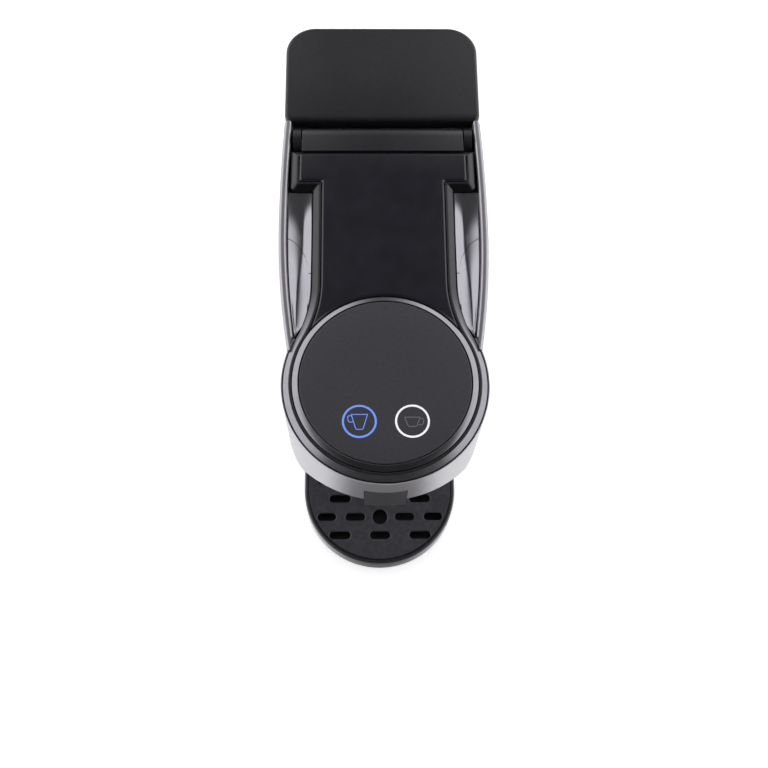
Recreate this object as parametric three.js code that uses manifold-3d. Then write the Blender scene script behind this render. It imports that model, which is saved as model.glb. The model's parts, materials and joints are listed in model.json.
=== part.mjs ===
// Pod coffee machine with a round head, a keyhole-shaped lever on top, a round drip tray
// and a water tank at the back. Millimetres, +Z up, front at -Y.
// The origin is on the worktop, under the middle of the whole machine.
import * as THREE from 'three';
import { mergeVertices } from 'three/addons/utils/BufferGeometryUtils.js';
import Module from 'manifold-3d';

const wasm = await Module();
wasm.setup();

// ---------------------------------------------------------------- driving dimensions
const totalHeight = 240;      // worktop to the touch disc
const totalDepth = 260;       // front of the head to the back of the tank
const headRadius = 51;        // outside of the round head
const bodyFlare = 3;          // widest place of the side skins, outside the head
const headDepth = 36;         // height of the head wall at its front
const neckDepth = 62;         // height of the head where it joins the column
const columnReach = 47;       // head centre to the front of the column
const tankDepth = 59.7;       // front to back of the water tank; the column takes the rest
const bowReach = 88;          // head centre to the widest place of the skins
const bowFront = 440;         // bow radius of the skins ahead of the widest place
const bowRear = 1000;         // bow radius behind it
const skinStart = 15;         // head centre to the front tips of the skins
const neckStart = 24;         // head centre to the seam between head shell and column shell
const skinWall = 4.2;
const shellWall = 2.5;
const gap = 0.3;              // between pieces that touch
const runGap = 0.5;           // between pieces that slide or swing
const arcSteps = 3;           // facets on each arc of an outline
const discSides = 48;         // facets on the disc and the rings around it

const footHeight = 2.3;
const footRadius = 7;
const baseWall = 3.7;
const trayStep = 0.5;         // head wall standing outside the drip tray
const trayReach = 5.5;        // head centre to the centre of the tray's round front
const trayHeight = 18;
const trayWall = 2.2;
const gridWall = 1.6;
const slotWidth = 5;
const slotRowStep = 12.5;
const binWidth = 69;
const binHeight = 119;
const binWall = 1.8;

const rimStep = 1;            // head wall standing outside the lever's round end
const neckHalf = 36.3;        // half width of the lever's neck
const neckFillet = 62;        // radius that blends the neck into the round end
const barClearance = 0.68;    // rear ends of the cross bar to the side skins
const barDepth = 32;          // front edge of the cross bar to the lever's hinge axis
const hingeInset = 10;        // hinge axis to the back of the column
const hingeRadius = 7.5;      // barrel of the lever
const leverTop = 1.5;         // lever frame below the touch disc
const leverHeight = 8.2;
const leverBorder = 4.2;      // frame showing around the inlay
const inlayWall = 3.1;
const bezelWidth = 3.5;       // bright ring between the lever frame and the touch disc
const discWall = 2.5;
const crankLength = 25;
const pinRadius = 2.5;

const lampReach = 20.8;       // head centre to the two lit rings, towards the front
const lampOffset = 12.7;      // middle of the disc to each lit ring, sideways
const lampRadius = 8.4;
const lampWidth = 1.1;

const spoutWidth = 20.8;
const spoutTop = 19;          // upper edge of the spout plate, below the touch disc
const spoutDrop = 10;         // spout below the chin at the front
const outletReach = 12;       // head centre to the outlet, towards the front
const outletRadius = 3;

const lidDrop = 2.4;          // tank lid below the touch disc
const tankWall = 2.2;
const tankCorner = 16;
const dockHeight = 22;
const lidHeight = 7.7;
const lidHingeInset = 4;
const lidLift = 3.7;          // lid hinge axis above the underside of the lid
const lugRadius = 2.6;        // round top of the tank's lugs, about the lid hinge
const valveRadius = 7;

const cageLength = 31.5;
const injectorReach = 38;     // lever hinge to the front of the injector
const podRadius = 15.5;
const cageWall = 4.5;
const brewDrop = 34;          // axis of the brewing unit below the touch disc
const pumpRadius = 17;
const pumpLength = 84;
const worksDepth = 41.1;      // room for pump and heater behind the bin
const dividerWall = 1.6;

// ---------------------------------------------------------------- places that follow from them
const bodyWidth = (headRadius + bodyFlare) * 2;
const top = totalHeight;
const front = -totalDepth / 2;
const back = totalDepth / 2;
const headY = front + headRadius;
const columnFront = headY + columnReach;
const columnBack = back - tankDepth - gap;
const skinFront = headY + skinStart;
const neckFront = headY + neckStart;
const bowY = headY + bowReach;
const trayY = headY + trayReach;
const trayRadius = headRadius - trayStep;
const neckBottom = top - neckDepth;
const baseTop = footHeight + baseWall;
const frameTop = top - leverTop;
const frameBottom = frameTop - leverHeight;
const shellTop = frameBottom - gap * 2;
const hingeY = columnBack - hingeInset;
const hingeZ = frameTop - hingeRadius;
const barY = hingeY - barDepth;
const barRear = hingeY - hingeRadius - runGap * 2;
const barHalf = bodyHalf(barRear) - skinWall - barClearance;
const leverRadius = headRadius - rimStep;
const bezelRadius = leverRadius - leverBorder - gap;
const discRadius = bezelRadius - bezelWidth;
const brewHeight = top - brewDrop;
const cageRadius = podRadius + cageWall;
const brewFloor = brewHeight - cageRadius - 2.6;
const crankX = cageRadius + cageWall;  // middle of each crank arm on the lever
const shellInset = skinWall + gap;
const tankFront = columnBack + gap;
const tankBottom = baseTop + gap + dockHeight + gap;
const lidBottom = top - lidDrop - lidHeight;
const tankTop = lidBottom - gap;
const lidHingeY = back - lidHingeInset;
const lidHingeZ = lidBottom + lidLift;
const lidSwing = Math.hypot(lidHingeInset, lidHeight - lidLift) + runGap;
const valveY = (tankFront + back) / 2;
const outletY = headY - outletReach;
const binFront = columnFront + gap;
const dividerFront = columnBack - shellWall - worksDepth - dividerWall;
const binBack = dividerFront - runGap;
const binBottom = baseTop + gap + trayWall + gap;
const hoseRadius = 2.4;
const hoseRoom = hoseRadius + 1;
const inletZ = baseTop + 5;

// ---------------------------------------------------------------- finishes
const paint = (color, roughness, metalness = 0) =>
  new THREE.MeshStandardMaterial({ color, roughness, metalness });
const finishes = {
  silver: paint(0x9a9a9e, 0.3, 0.9),
  gloss: paint(0x121214, 0.12),
  black: paint(0x232228, 0.35),
  matte: paint(0x3c3a40, 0.75),
  satin: paint(0x34333a, 0.5),
  chrome: paint(0x8f9095, 0.22, 1),
  rubber: paint(0x18181a, 0.9),
  smoke: paint(0x6d7276, 0.1),
  steel: paint(0xb4b6b8, 0.3, 1),
  board: paint(0x1d4d33, 0.6),
  brass: paint(0xb99a55, 0.35, 1),
  hose: paint(0xd8d8d4, 0.5),
  inner: paint(0x2a2a2d, 0.6),
  blueLamp: paint(0x7896eb, 0.4),
  whiteLamp: paint(0xebebee, 0.4),
};

// ---------------------------------------------------------------- solids
function solid(geometry) {
  const bare = geometry.clone();
  bare.deleteAttribute('normal');
  bare.deleteAttribute('uv');
  const merged = mergeVertices(bare, 1e-4);
  return new wasm.Manifold(new wasm.Mesh({
    numProp: 3,
    vertProperties: new Float32Array(merged.attributes.position.array),
    triVerts: new Uint32Array(merged.index.array),
  }));
}

function toGeometry(manifold) {
  const mesh = manifold.getMesh();
  const geometry = new THREE.BufferGeometry();
  geometry.setAttribute('position', new THREE.BufferAttribute(mesh.vertProperties, 3));
  geometry.setIndex(new THREE.BufferAttribute(mesh.triVerts, 1));
  geometry.computeVertexNormals();
  return geometry;
}

const axes = {
  // outline in X and Y, extruded upwards from `from` to `to`
  z: (geometry, from) => geometry.translate(0, 0, from),
  // outline in Y and Z, extruded along X
  x: (geometry, from) => geometry
    .applyMatrix4(new THREE.Matrix4().makeBasis(
      new THREE.Vector3(0, 1, 0), new THREE.Vector3(0, 0, 1), new THREE.Vector3(1, 0, 0)))
    .translate(from, 0, 0),
  // outline in X and Z, extruded along Y
  y: (geometry, from, to) => geometry
    .applyMatrix4(new THREE.Matrix4().makeBasis(
      new THREE.Vector3(1, 0, 0), new THREE.Vector3(0, 0, 1), new THREE.Vector3(0, -1, 0)))
    .translate(0, to, 0),
};

function extrude(axis, shape, from, to, curveSegments = 8) {
  const geometry = new THREE.ExtrudeGeometry(shape, {
    depth: to - from, bevelEnabled: false, curveSegments,
  });
  return solid(axes[axis](geometry, from, to));
}

function block(x0, x1, y0, y1, z0, z1) {
  const geometry = new THREE.BoxGeometry(x1 - x0, y1 - y0, z1 - z0);
  return solid(geometry.translate((x0 + x1) / 2, (y0 + y1) / 2, (z0 + z1) / 2));
}

// A round bar along one axis, between two values on that axis, centred on (a, b) of the others.
function rod(axis, radius, from, to, a, b, sides = 16) {
  const geometry = new THREE.CylinderGeometry(radius, radius, to - from, sides);
  const middle = (from + to) / 2;
  if (axis === 'x') return solid(geometry.rotateZ(Math.PI / 2).translate(middle, a, b));
  if (axis === 'y') return solid(geometry.translate(a, middle, b));
  return solid(geometry.rotateX(Math.PI / 2).translate(a, b, middle));
}

function hose(points, radius, steps) {
  const path = new THREE.CatmullRomCurve3(points.map((p) => new THREE.Vector3(...p)));
  const section = new THREE.Shape();
  section.absarc(0, 0, radius, 0, Math.PI * 2);
  return solid(new THREE.ExtrudeGeometry(section, { extrudePath: path, steps, curveSegments: 4 }));
}

const all = (pieces) => pieces.reduce((sum, piece) => sum.add(piece));

// ---------------------------------------------------------------- outlines
// A long arc in several pieces, so that it gets more facets than a short one.
function longArc(shape, x, y, radius, from, to) {
  const pieces = 6;
  for (let i = 0; i < pieces; i += 1) {
    const a = from + ((to - from) * i) / pieces;
    shape.absarc(x, y, radius, a, a + (to - from) / pieces);
  }
}

function polygon(points) {
  return new THREE.Shape(points.map(([x, y]) => new THREE.Vector2(x, y)));
}

// Half width of the bowed body at a place along the machine.
function bodyHalf(y) {
  const away = y - bowY;
  const radius = away < 0 ? bowFront : bowRear;
  return bodyWidth / 2 - (radius - Math.sqrt(radius * radius - away * away));
}

// The bowed body in plan, drawn in by `inset`, between two places along the machine.
function bodyPlan(inset, from, to, steps = 8) {
  const right = [];
  for (let i = 0; i <= steps; i += 1) {
    const y = from + ((to - from) * i) / steps;
    right.push([bodyHalf(y) - inset, y]);
  }
  const left = right.map(([x, y]) => [-x, y]).reverse();
  return polygon([...right, ...left]);
}

function roundedBox(half, from, to, frontRadius, rearRadius) {
  const shape = new THREE.Shape();
  shape.absarc(half - frontRadius, from + frontRadius, frontRadius, -Math.PI / 2, 0);
  shape.absarc(half - rearRadius, to - rearRadius, rearRadius, 0, Math.PI / 2);
  shape.absarc(rearRadius - half, to - rearRadius, rearRadius, Math.PI / 2, Math.PI);
  shape.absarc(frontRadius - half, from + frontRadius, frontRadius, Math.PI, Math.PI * 1.5);
  return shape;
}

// The lever seen from above, drawn in by `inset`: a round end, a neck and a cross bar.
function leverPlan(inset, rear) {
  const radius = leverRadius - inset;
  const half = neckHalf - inset;
  const fillet = neckFillet + inset;
  const centreX = neckHalf + neckFillet;
  const lean = Math.acos(centreX / (leverRadius + neckFillet));
  const centreY = headY + (leverRadius + neckFillet) * Math.sin(lean);
  const corner = 3;
  const bar = barHalf - inset;
  const barFront = barY + inset;
  const shape = new THREE.Shape();
  longArc(shape, 0, headY, radius, Math.PI - lean, Math.PI * 2 + lean);
  shape.absarc(centreX, centreY, fillet, Math.PI + lean, Math.PI, true);
  shape.lineTo(half, barFront);
  shape.absarc(bar - corner, barFront + corner, corner, -Math.PI / 2, 0);
  shape.lineTo(bar, rear);
  shape.lineTo(-bar, rear);
  shape.absarc(corner - bar, barFront + corner, corner, Math.PI, Math.PI * 1.5);
  shape.lineTo(-half, barFront);
  shape.absarc(-centreX, centreY, fillet, 0, -lean, true);
  return shape;
}

// The drip tray seen from above, drawn in by `inset`: a half round with straight sides.
function trayPlan(inset, rear) {
  const radius = trayRadius - inset;
  const shape = new THREE.Shape();
  longArc(shape, 0, trayY, radius, Math.PI, Math.PI * 2);
  shape.lineTo(radius, rear);
  shape.lineTo(-radius, rear);
  return shape;
}

// Side view of the head and neck above the curved chin, raised by `rise`.
function headProfile(rise, frontY, rearY, upTo) {
  const chin = top - headDepth + rise;
  const low = neckBottom + rise;
  const shape = new THREE.Shape();
  shape.moveTo(frontY, chin);
  shape.lineTo(front, chin);
  shape.quadraticCurveTo(front + 12.5, chin - 6, front + 22, low + 4);
  shape.quadraticCurveTo(front + 25, low, front + 31, low);
  shape.lineTo(rearY, low);
  shape.lineTo(rearY, upTo);
  shape.lineTo(frontY, upTo);
  return shape;
}

// Side view of the neck and column, drawn in by `inset`, down to `bottom`.
function columnProfile(inset, from, rear, bottom, upTo, cornerRadius) {
  const shape = new THREE.Shape();
  const under = neckBottom + inset;
  const face = columnFront + inset;
  shape.moveTo(from, under);
  shape.lineTo(face - cornerRadius, under);
  shape.absarc(face - cornerRadius, under - cornerRadius, cornerRadius, Math.PI / 2, 0, true);
  shape.lineTo(face, bottom);
  shape.lineTo(rear, bottom);
  shape.lineTo(rear, upTo);
  shape.lineTo(from, upTo);
  return shape;
}

function slotShape(x, y, length) {
  const end = slotWidth / 2;
  const shape = new THREE.Shape();
  shape.absarc(x + length / 2 - end, y, end, -Math.PI / 2, Math.PI / 2);
  shape.absarc(x - length / 2 + end, y, end, Math.PI / 2, Math.PI * 1.5);
  return shape;
}

// ---------------------------------------------------------------- the assembly
const machine = new THREE.Group();

function add(name, manifold, finish) {
  const mesh = new THREE.Mesh(toGeometry(manifold), finishes[finish]);
  mesh.name = name;
  machine.add(mesh);
}

// ---- base, feet and the screws that hold the base to the column
const footPlaces = [[-30, trayY - 15], [30, trayY - 15], [-34, back - 24], [34, back - 24]];
const screwPlaces = [[-40, columnFront + 10], [40, columnFront + 10],
  [-38, columnBack - 8], [38, columnBack - 8]];
const screwRadius = 3;

function makeBase() {
  const tongue = extrude('z', trayPlan(trayWall + 1.5, columnFront + 1), footHeight, baseTop);
  const middle = extrude('z', bodyPlan(shellInset, columnFront, columnBack), footHeight, baseTop);
  const rear = extrude('z', roundedBox(bodyHalf(columnBack) - shellInset, columnBack - 8, back - 3,
    1, tankCorner), footHeight, baseTop);
  let plate = all([tongue, middle, rear]);
  for (const [x, y] of screwPlaces) {
    plate = plate.subtract(rod('z', screwRadius + gap, 0, baseTop + 1, x, y));
  }
  add('base_plate', plate, 'inner');
  footPlaces.forEach(([x, y], i) => {
    add(`foot_${i + 1}`, rod('z', footRadius, 0, footHeight - gap, x, y, 20), 'rubber');
  });
  screwPlaces.forEach(([x, y], i) => {
    add(`base_screw_${i + 1}`, rod('z', screwRadius, footHeight + 0.5, baseTop, x, y, 12), 'steel');
  });
}

// ---- column shell, skins and the shoulders between skins and lever
function makeColumn() {
  const open = neckHalf - 2;
  const outer = extrude('z', bodyPlan(shellInset, neckFront, columnBack), 0, top)
    .intersect(extrude('x', columnProfile(0, neckFront, columnBack, baseTop + gap, shellTop, 14),
      -bodyWidth, bodyWidth));
  const inside = extrude('z', bodyPlan(shellInset + shellWall, neckFront - 2,
    columnBack - shellWall), 0, shellTop - shellWall);
  const room = inside.intersect(extrude('x', columnProfile(shellWall, neckFront - 2,
    columnBack - shellWall, 0, top, 12), -bodyWidth, bodyWidth));
  const mouth = block(-open, open, neckFront - 2, columnBack - shellWall, shellTop - 10, top);
  const bay = block(-binWidth / 2 - runGap, binWidth / 2 + runGap,
    columnFront - 1, columnFront + shellWall + 1, 0, binBottom + binHeight + runGap);
  const earFront = hingeY - hingeRadius - runGap;
  const barrelRoom = block(-bodyWidth, bodyWidth, earFront, columnBack + 1,
    hingeZ - hingeRadius - runGap, top);
  const earIn = barHalf - 5;
  const earOut = bodyHalf(columnBack) - shellInset - gap;
  const ears = [-1, 1].map((side) => {
    const [x0, x1] = side < 0 ? [-earOut, -earIn] : [earIn, earOut];
    const foot = block(x0, x1, hingeY - 5, hingeY + hingeRadius, hingeZ - 14, hingeZ);
    return rod('x', hingeRadius, x0, x1, hingeY, hingeZ, 24).add(foot);
  });
  const pinRoom = rod('x', pinRadius + gap, -bodyWidth, bodyWidth, hingeY, hingeZ, 12);
  const drill = rod('y', hoseRoom, columnBack - 5, columnBack + 1, 0, inletZ);
  const shell = outer.subtract(room).subtract(mouth).subtract(bay).subtract(barrelRoom)
    .subtract(drill).add(all(ears)).subtract(pinRoom);
  add('column_shell', shell, 'black');

  const skinTop = top - 2.5;
  const ring = extrude('z', bodyPlan(0, skinFront, columnBack, 12), 0, top)
    .subtract(extrude('z', bodyPlan(skinWall, skinFront - 2, columnBack + 2, 12), -1, top + 1))
    .subtract(rod('z', headRadius + gap, 0, top, 0, headY, 64));
  const skins = ring.intersect(extrude('x', columnProfile(0, skinFront, columnBack,
    footHeight + gap, skinTop, 14), -bodyWidth, bodyWidth));
  add('side_skin_left', skins.intersect(block(-bodyWidth, 0, front, back, 0, top)), 'silver');
  add('side_skin_right', skins.intersect(block(0, bodyWidth, front, back, 0, top)), 'silver');

  const deckTop = top - 4.5;
  const deckBottom = shellTop + gap;
  const leverRoom = extrude('z', leverPlan(-runGap, columnBack), 0, top);
  const deck = extrude('z', bodyPlan(shellInset, skinFront + 2, barY - runGap), deckBottom, deckTop)
    .subtract(leverRoom)
    .subtract(rod('z', headRadius + runGap, 0, top, 0, headY, 64));
  const seam = (grow) => {
    const caps = [-1, 1].map((side) => {
      const shape = new THREE.Shape();
      shape.absellipse(side * (bodyHalf(bowY) - shellWall), headY + 60, 13 + grow, 20 + grow,
        0, Math.PI * 2);
      return extrude('z', shape, deckBottom - 1, top, 12);
    });
    return all([...caps, block(-bodyWidth, bodyWidth, front, headY + 60 + grow, 0, top)]);
  };
  const shoulders = deck.intersect(seam(0));
  const rails = deck.subtract(seam(gap));
  const leftHalf = block(-bodyWidth, 0, front, back, 0, top);
  const rightHalf = block(0, bodyWidth, front, back, 0, top);
  add('shoulder_left', shoulders.intersect(leftHalf), 'gloss');
  add('shoulder_right', shoulders.intersect(rightHalf), 'gloss');
  add('deck_left', rails.intersect(leftHalf), 'gloss');
  add('deck_right', rails.intersect(rightHalf), 'gloss');
}

// ---- round head with the spout let into its front
function makeHead() {
  const wallTop = frameBottom + leverHeight - 2;
  const rear = neckFront - gap;
  const outer = rod('z', headRadius, 0, wallTop, 0, headY, 64)
    .intersect(extrude('x', headProfile(0, front - 1, rear, top), -bodyWidth, bodyWidth, 6));
  const room = rod('z', headRadius - shellWall, 0, top, 0, headY, 48)
    .intersect(extrude('x', headProfile(shellWall, front - 1, rear + 1, top), -bodyWidth,
      bodyWidth, 6));
  const leverSeat = rod('z', leverRadius + runGap - 0.1, frameBottom - runGap, top, 0, headY, 64);
  const half = spoutWidth / 2;
  const plateTop = top - spoutTop;
  const spoutRear = outletY + 8;
  const slot = block(-half - gap, half + gap, front - 2, spoutRear + gap, 0, plateTop + gap);
  add('head_shell', outer.subtract(room).subtract(leverSeat).subtract(slot), 'silver');

  const chin = top - headDepth - spoutDrop;
  const tongue = polygon([[front, plateTop], [front, chin], [front + 12, chin - 6],
    [outletY - 8, neckBottom - 9], [outletY + 6, neckBottom - 9], [outletY + 8, neckBottom - 6],
    [outletY + 8, neckBottom + shellWall], [outletY - 8, neckBottom + shellWall + 10],
    [front + 10, plateTop]]);
  const spout = extrude('x', tongue, -half, half)
    .intersect(rod('z', headRadius - gap, 0, top, 0, headY, 64))
    .subtract(room)
    .subtract(rod('z', outletRadius + gap, 0, top, 0, outletY, 16));
  add('spout', spout, 'satin');

  const funnelRear = columnFront - 6;
  const funnelTop = neckBottom + shellWall + gap + 9;
  const trough = polygon([[outletY - 9, neckBottom + shellWall + gap],
    [funnelRear, neckBottom + shellWall + gap], [funnelRear, funnelTop],
    [outletY - 9, funnelTop]]);
  const hollow = polygon([[outletY - 7, neckBottom + shellWall + gap + 2],
    [funnelRear - 2, neckBottom + shellWall + gap + 4], [funnelRear - 2, top],
    [outletY - 7, top]]);
  const funnel = extrude('x', trough, -9, 9)
    .subtract(extrude('x', hollow, -7, 7))
    .add(rod('z', outletRadius, neckBottom - 5, neckBottom + 4, 0, outletY, 16))
    .subtract(rod('z', outletRadius - 1, 0, top, 0, outletY, 12));
  add('coffee_funnel', funnel, 'inner');
}

// ---- lever, its inlay, the touch disc and what lies under it
function makeLever() {
  const earIn = barHalf - 5;
  const barEnd = hingeY - hingeRadius - runGap;
  const barrelHalf = earIn - runGap;
  const barrel = rod('x', hingeRadius, -barrelHalf, barrelHalf, hingeY, hingeZ, 24)
    .add(block(-barrelHalf, barrelHalf, barEnd - 1, hingeY, hingeZ, frameTop));
  const frame = extrude('z', leverPlan(0, barRear), frameBottom, frameTop, arcSteps)
    .subtract(extrude('z', leverPlan(2.5, barEnd - 3), frameBottom - 1, frameBottom + 2.8, arcSteps))
    .add(barrel)
    .subtract(extrude('z', leverPlan(leverBorder, barEnd - 3), frameTop - 2.5, top, arcSteps));
  const arms = [-1, 1].map((side) => {
    const x = side * crankX;
    const pinIn = side * (cageRadius - 1.5);
    const arm = block(x - 1.3, x + 1.3, hingeY - 5, hingeY + 5, hingeZ - crankLength, hingeZ);
    const eye = rod('x', 5, x - 1.3, x + 1.3, hingeY, hingeZ - crankLength, 16);
    const pin = rod('x', 2, Math.min(x, pinIn), Math.max(x, pinIn), hingeY,
      hingeZ - crankLength, 12);
    return all([arm, eye, pin]);
  });
  const lever = frame.add(all(arms))
    .subtract(rod('x', pinRadius + gap, -bodyWidth, bodyWidth, hingeY, hingeZ, 12));
  add('lever_frame', lever, 'black');
  const pinEnd = bodyHalf(columnBack) - shellInset - gap * 2;
  add('lever_pin', rod('x', pinRadius, -pinEnd, pinEnd, hingeY, hingeZ, 12), 'steel');

  const inlayBottom = frameTop - 2.5 + gap;
  const inlay = extrude('z', leverPlan(leverBorder + gap, barEnd - 3 - gap), inlayBottom,
    inlayBottom + inlayWall, arcSteps)
    .subtract(rod('z', bezelRadius + gap, 0, top + 1, 0, headY, discSides));
  add('lever_inlay', inlay, 'gloss');
  const bezel = rod('z', bezelRadius, inlayBottom, top - 0.3, 0, headY, discSides)
    .subtract(rod('z', discRadius + gap, 0, top + 1, 0, headY, discSides));
  add('disc_bezel', bezel, 'chrome');
  const lampRoom = (side) => {
    const x = side * lampOffset;
    const y = headY - lampReach;
    return rod('z', lampRadius + gap, top - 1.1, top + 1, x, y, 32)
      .subtract(rod('z', lampRadius - lampWidth - gap, 0, top + 1, x, y, 32));
  };
  const disc = rod('z', discRadius, top - discWall, top, 0, headY, discSides)
    .subtract(lampRoom(-1)).subtract(lampRoom(1));
  add('touch_disc', disc, 'matte');
  [[-1, 'lamp_ring_large_cup', 'blueLamp'], [1, 'lamp_ring_small_cup', 'whiteLamp']]
    .forEach(([side, name, finish]) => {
      const x = side * lampOffset;
      const y = headY - lampReach;
      add(name, rod('z', lampRadius, top - 0.8, top - 0.05, x, y, 32)
        .subtract(rod('z', lampRadius - lampWidth, 0, top + 1, x, y, 32)), finish);
    });
  const board = rod('z', discRadius - 4, inlayBottom, top - discWall - gap, 0, headY, 32);
  add('touch_board', board, 'board');
}

// ---- brewing unit: frame, injector and the cage that the lever slides
const injectorFront = hingeY - injectorReach;
const cageFront = injectorFront - runGap - cageLength;
const cageTravel = 22;

function makeBrewer() {
  const wallIn = cageRadius + 7;
  const wallOut = wallIn + 2;
  const unitFront = columnFront - 4;
  const unitRear = injectorFront + 16;
  const channel = block(-wallOut, wallOut, unitFront, unitRear, brewFloor, shellTop - 6)
    .subtract(block(-wallIn, wallIn, unitFront - 1, unitRear + 1, brewFloor + 2, top))
    .subtract(block(-podRadius - 3, podRadius + 3, injectorFront - cageTravel - 1,
      injectorFront - 1, 0, brewFloor + 5));
  const lugs = [-1, 1].map((side) => {
    const reach = bodyHalf(unitFront) - shellInset - shellWall - gap - 2;
    const [x0, x1] = side < 0 ? [-reach, -wallIn] : [wallIn, reach];
    return block(x0, x1, unitFront + 4, unitFront + 14, shellTop - 10, shellTop - 6);
  });
  add('brew_frame', channel.add(all(lugs)), 'inner');

  const mountTop = brewHeight - 8;
  const injector = rod('y', cageRadius - 3, injectorFront, unitRear - 1, 0, brewHeight, 24)
    .add(block(-wallIn + 7.5, wallIn - 7.5, injectorFront + 3, unitRear - 1,
      brewFloor + 2 + gap, mountTop))
    .add(rod('y', 3.2, unitRear - 2, unitRear + 6, 0, brewHeight, 12));
  add('injector', injector, 'brass');

  const cage = rod('y', cageRadius - 2, cageFront, cageFront + cageLength, 0, brewHeight, 24)
    .subtract(rod('y', podRadius, cageFront + 3, cageFront + cageLength + 1, 0, brewHeight, 24))
    .subtract(rod('y', 2.5, cageFront - 1, cageFront + 4, 0, brewHeight, 10));
  const runnerTop = brewHeight - 12;
  const runner = block(-cageRadius + 4, cageRadius - 4, cageFront, cageFront + 12,
    brewFloor + 2 + gap, runnerTop)
    .subtract(rod('y', podRadius, cageFront + 3, cageFront + cageLength + 1, 0, brewHeight, 24));
  const yokeWide = 8.6;
  const yokeIn = cageRadius - 0.4;
  const yokeOut = yokeIn + 3;
  const arms = [-1, 1].map((side) => {
    const [x0, x1] = side < 0 ? [-yokeOut, -yokeIn] : [yokeIn, yokeOut];
    const low = hingeZ - crankLength;
    const bar = block(x0, x1, cageFront + 2, hingeY - yokeWide / 2 - 1, low - 4, low + 2);
    const yoke = block(x0, x1, hingeY - yokeWide / 2 - 2.2, hingeY + yokeWide / 2 + 2.2,
      low - 7, low + 16)
      .subtract(block(x0 - 1, x1 + 1, hingeY - yokeWide / 2, hingeY + yokeWide / 2,
        low - 4, low + 22));
    const stud = block(side < 0 ? x0 : 10, side < 0 ? -10 : x1, cageFront + 0.4, cageFront + 2.6,
      low - 4, low + 2);
    return all([bar, yoke, stud]);
  });
  add('brew_cage', all([cage, runner, ...arms]), 'steel');
}

// ---- pump, heater, boards and hoses inside the column
function makeWorks() {
  const pumpX = -22;
  const worksY = (dividerFront + dividerWall + columnBack - shellWall) / 2;
  const mount = 12;
  const pumpBottom = baseTop + gap + mount + gap;
  const pumpTop = pumpBottom + pumpLength;
  add('pump_foot', rod('z', pumpRadius - 3, baseTop + gap, pumpBottom - gap, pumpX, worksY, 20),
    'rubber');
  const pump = rod('z', pumpRadius, pumpBottom, pumpBottom + pumpLength * 0.6, pumpX, worksY, 24)
    .add(rod('z', pumpRadius - 6, pumpBottom + 1, pumpTop, pumpX, worksY, 20));
  add('pump', pump, 'inner');
  add('pump_collar', rod('z', pumpRadius - 1, pumpTop - 14, pumpTop - 6, pumpX, worksY, 20)
    .subtract(rod('z', pumpRadius - 6 + gap, 0, top, pumpX, worksY, 20))
    .add(block(pumpX - 5, pumpX + 5, dividerFront + dividerWall + gap, worksY - pumpRadius + 4,
      pumpTop - 14, pumpTop - 6)), 'rubber');

  const heaterX = 21;
  const heaterFront = dividerFront + dividerWall + gap;
  const pipe = 6;
  const heaterTop = brewFloor - pipe - 8.8;
  const heaterBottom = heaterTop - 44;
  const pipeX = heaterX - 9;
  const pipeY = heaterFront + 13;
  const heater = block(heaterX - 17, heaterX + 17, heaterFront, heaterFront + 26,
    heaterBottom, heaterTop)
    .add(rod('z', 4, heaterBottom - pipe, heaterTop + pipe, pipeX, pipeY, 12));
  add('heater', heater, 'steel');
  add('flow_meter', rod('z', 12, baseTop + gap, baseTop + gap + 14, heaterX, worksY, 20)
    .add(rod('z', 3, baseTop + 10, baseTop + gap + 20, heaterX, worksY, 10)), 'hose');
  const boardBack = columnBack - shellWall - gap;
  const boardEdge = bodyHalf(columnBack) - shellInset - shellWall - 3;
  add('control_board', block(4, boardEdge, boardBack - 1.6, boardBack, 36, 96), 'board');
  const dividerHalf = bodyHalf(dividerFront) - shellInset - shellWall - gap;
  add('bay_divider', block(-dividerHalf, dividerHalf, dividerFront, dividerFront + dividerWall,
    baseTop + gap, brewFloor - gap), 'inner');

  const meterTop = baseTop + gap + 20;
  const meterSide = heaterX - 12;
  const boss = valveY - valveRadius - 4.5;
  const hoses = {
    hose_inlet: [[0, boss - gap, inletZ], [0, columnBack + 4, inletZ], [0, columnBack - 8, inletZ],
      [3, worksY + 2, inletZ], [meterSide - 0.5, worksY, inletZ]],
    hose_suction: [[heaterX, worksY, meterTop + gap], [heaterX, worksY, meterTop + 8],
      [heaterX - 12, worksY, meterTop + 12], [pumpX + pumpRadius + 5, worksY, meterTop + 9],
      [pumpX + pumpRadius + 0.5, worksY, meterTop + 9]],
    hose_pressure: [[pumpX, worksY, pumpTop + gap], [pumpX, worksY, pumpTop + 6],
      [pumpX + 14, worksY - 2, pumpTop + 10], [pipeX, pipeY, pumpTop + 10],
      [pipeX, pipeY, heaterBottom - pipe - 0.5]],
    hose_hot: [[pipeX, pipeY, heaterTop + pipe + 0.5], [pipeX, pipeY, heaterTop + pipe + 6],
      [pipeX - 6, pipeY + 12, brewHeight - 12], [0, injectorFront + 29, brewHeight],
      [0, injectorFront + 22.5, brewHeight]],
  };
  for (const [name, points] of Object.entries(hoses)) {
    add(name, hose(points, hoseRadius, 14), 'hose');
  }
}

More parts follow.
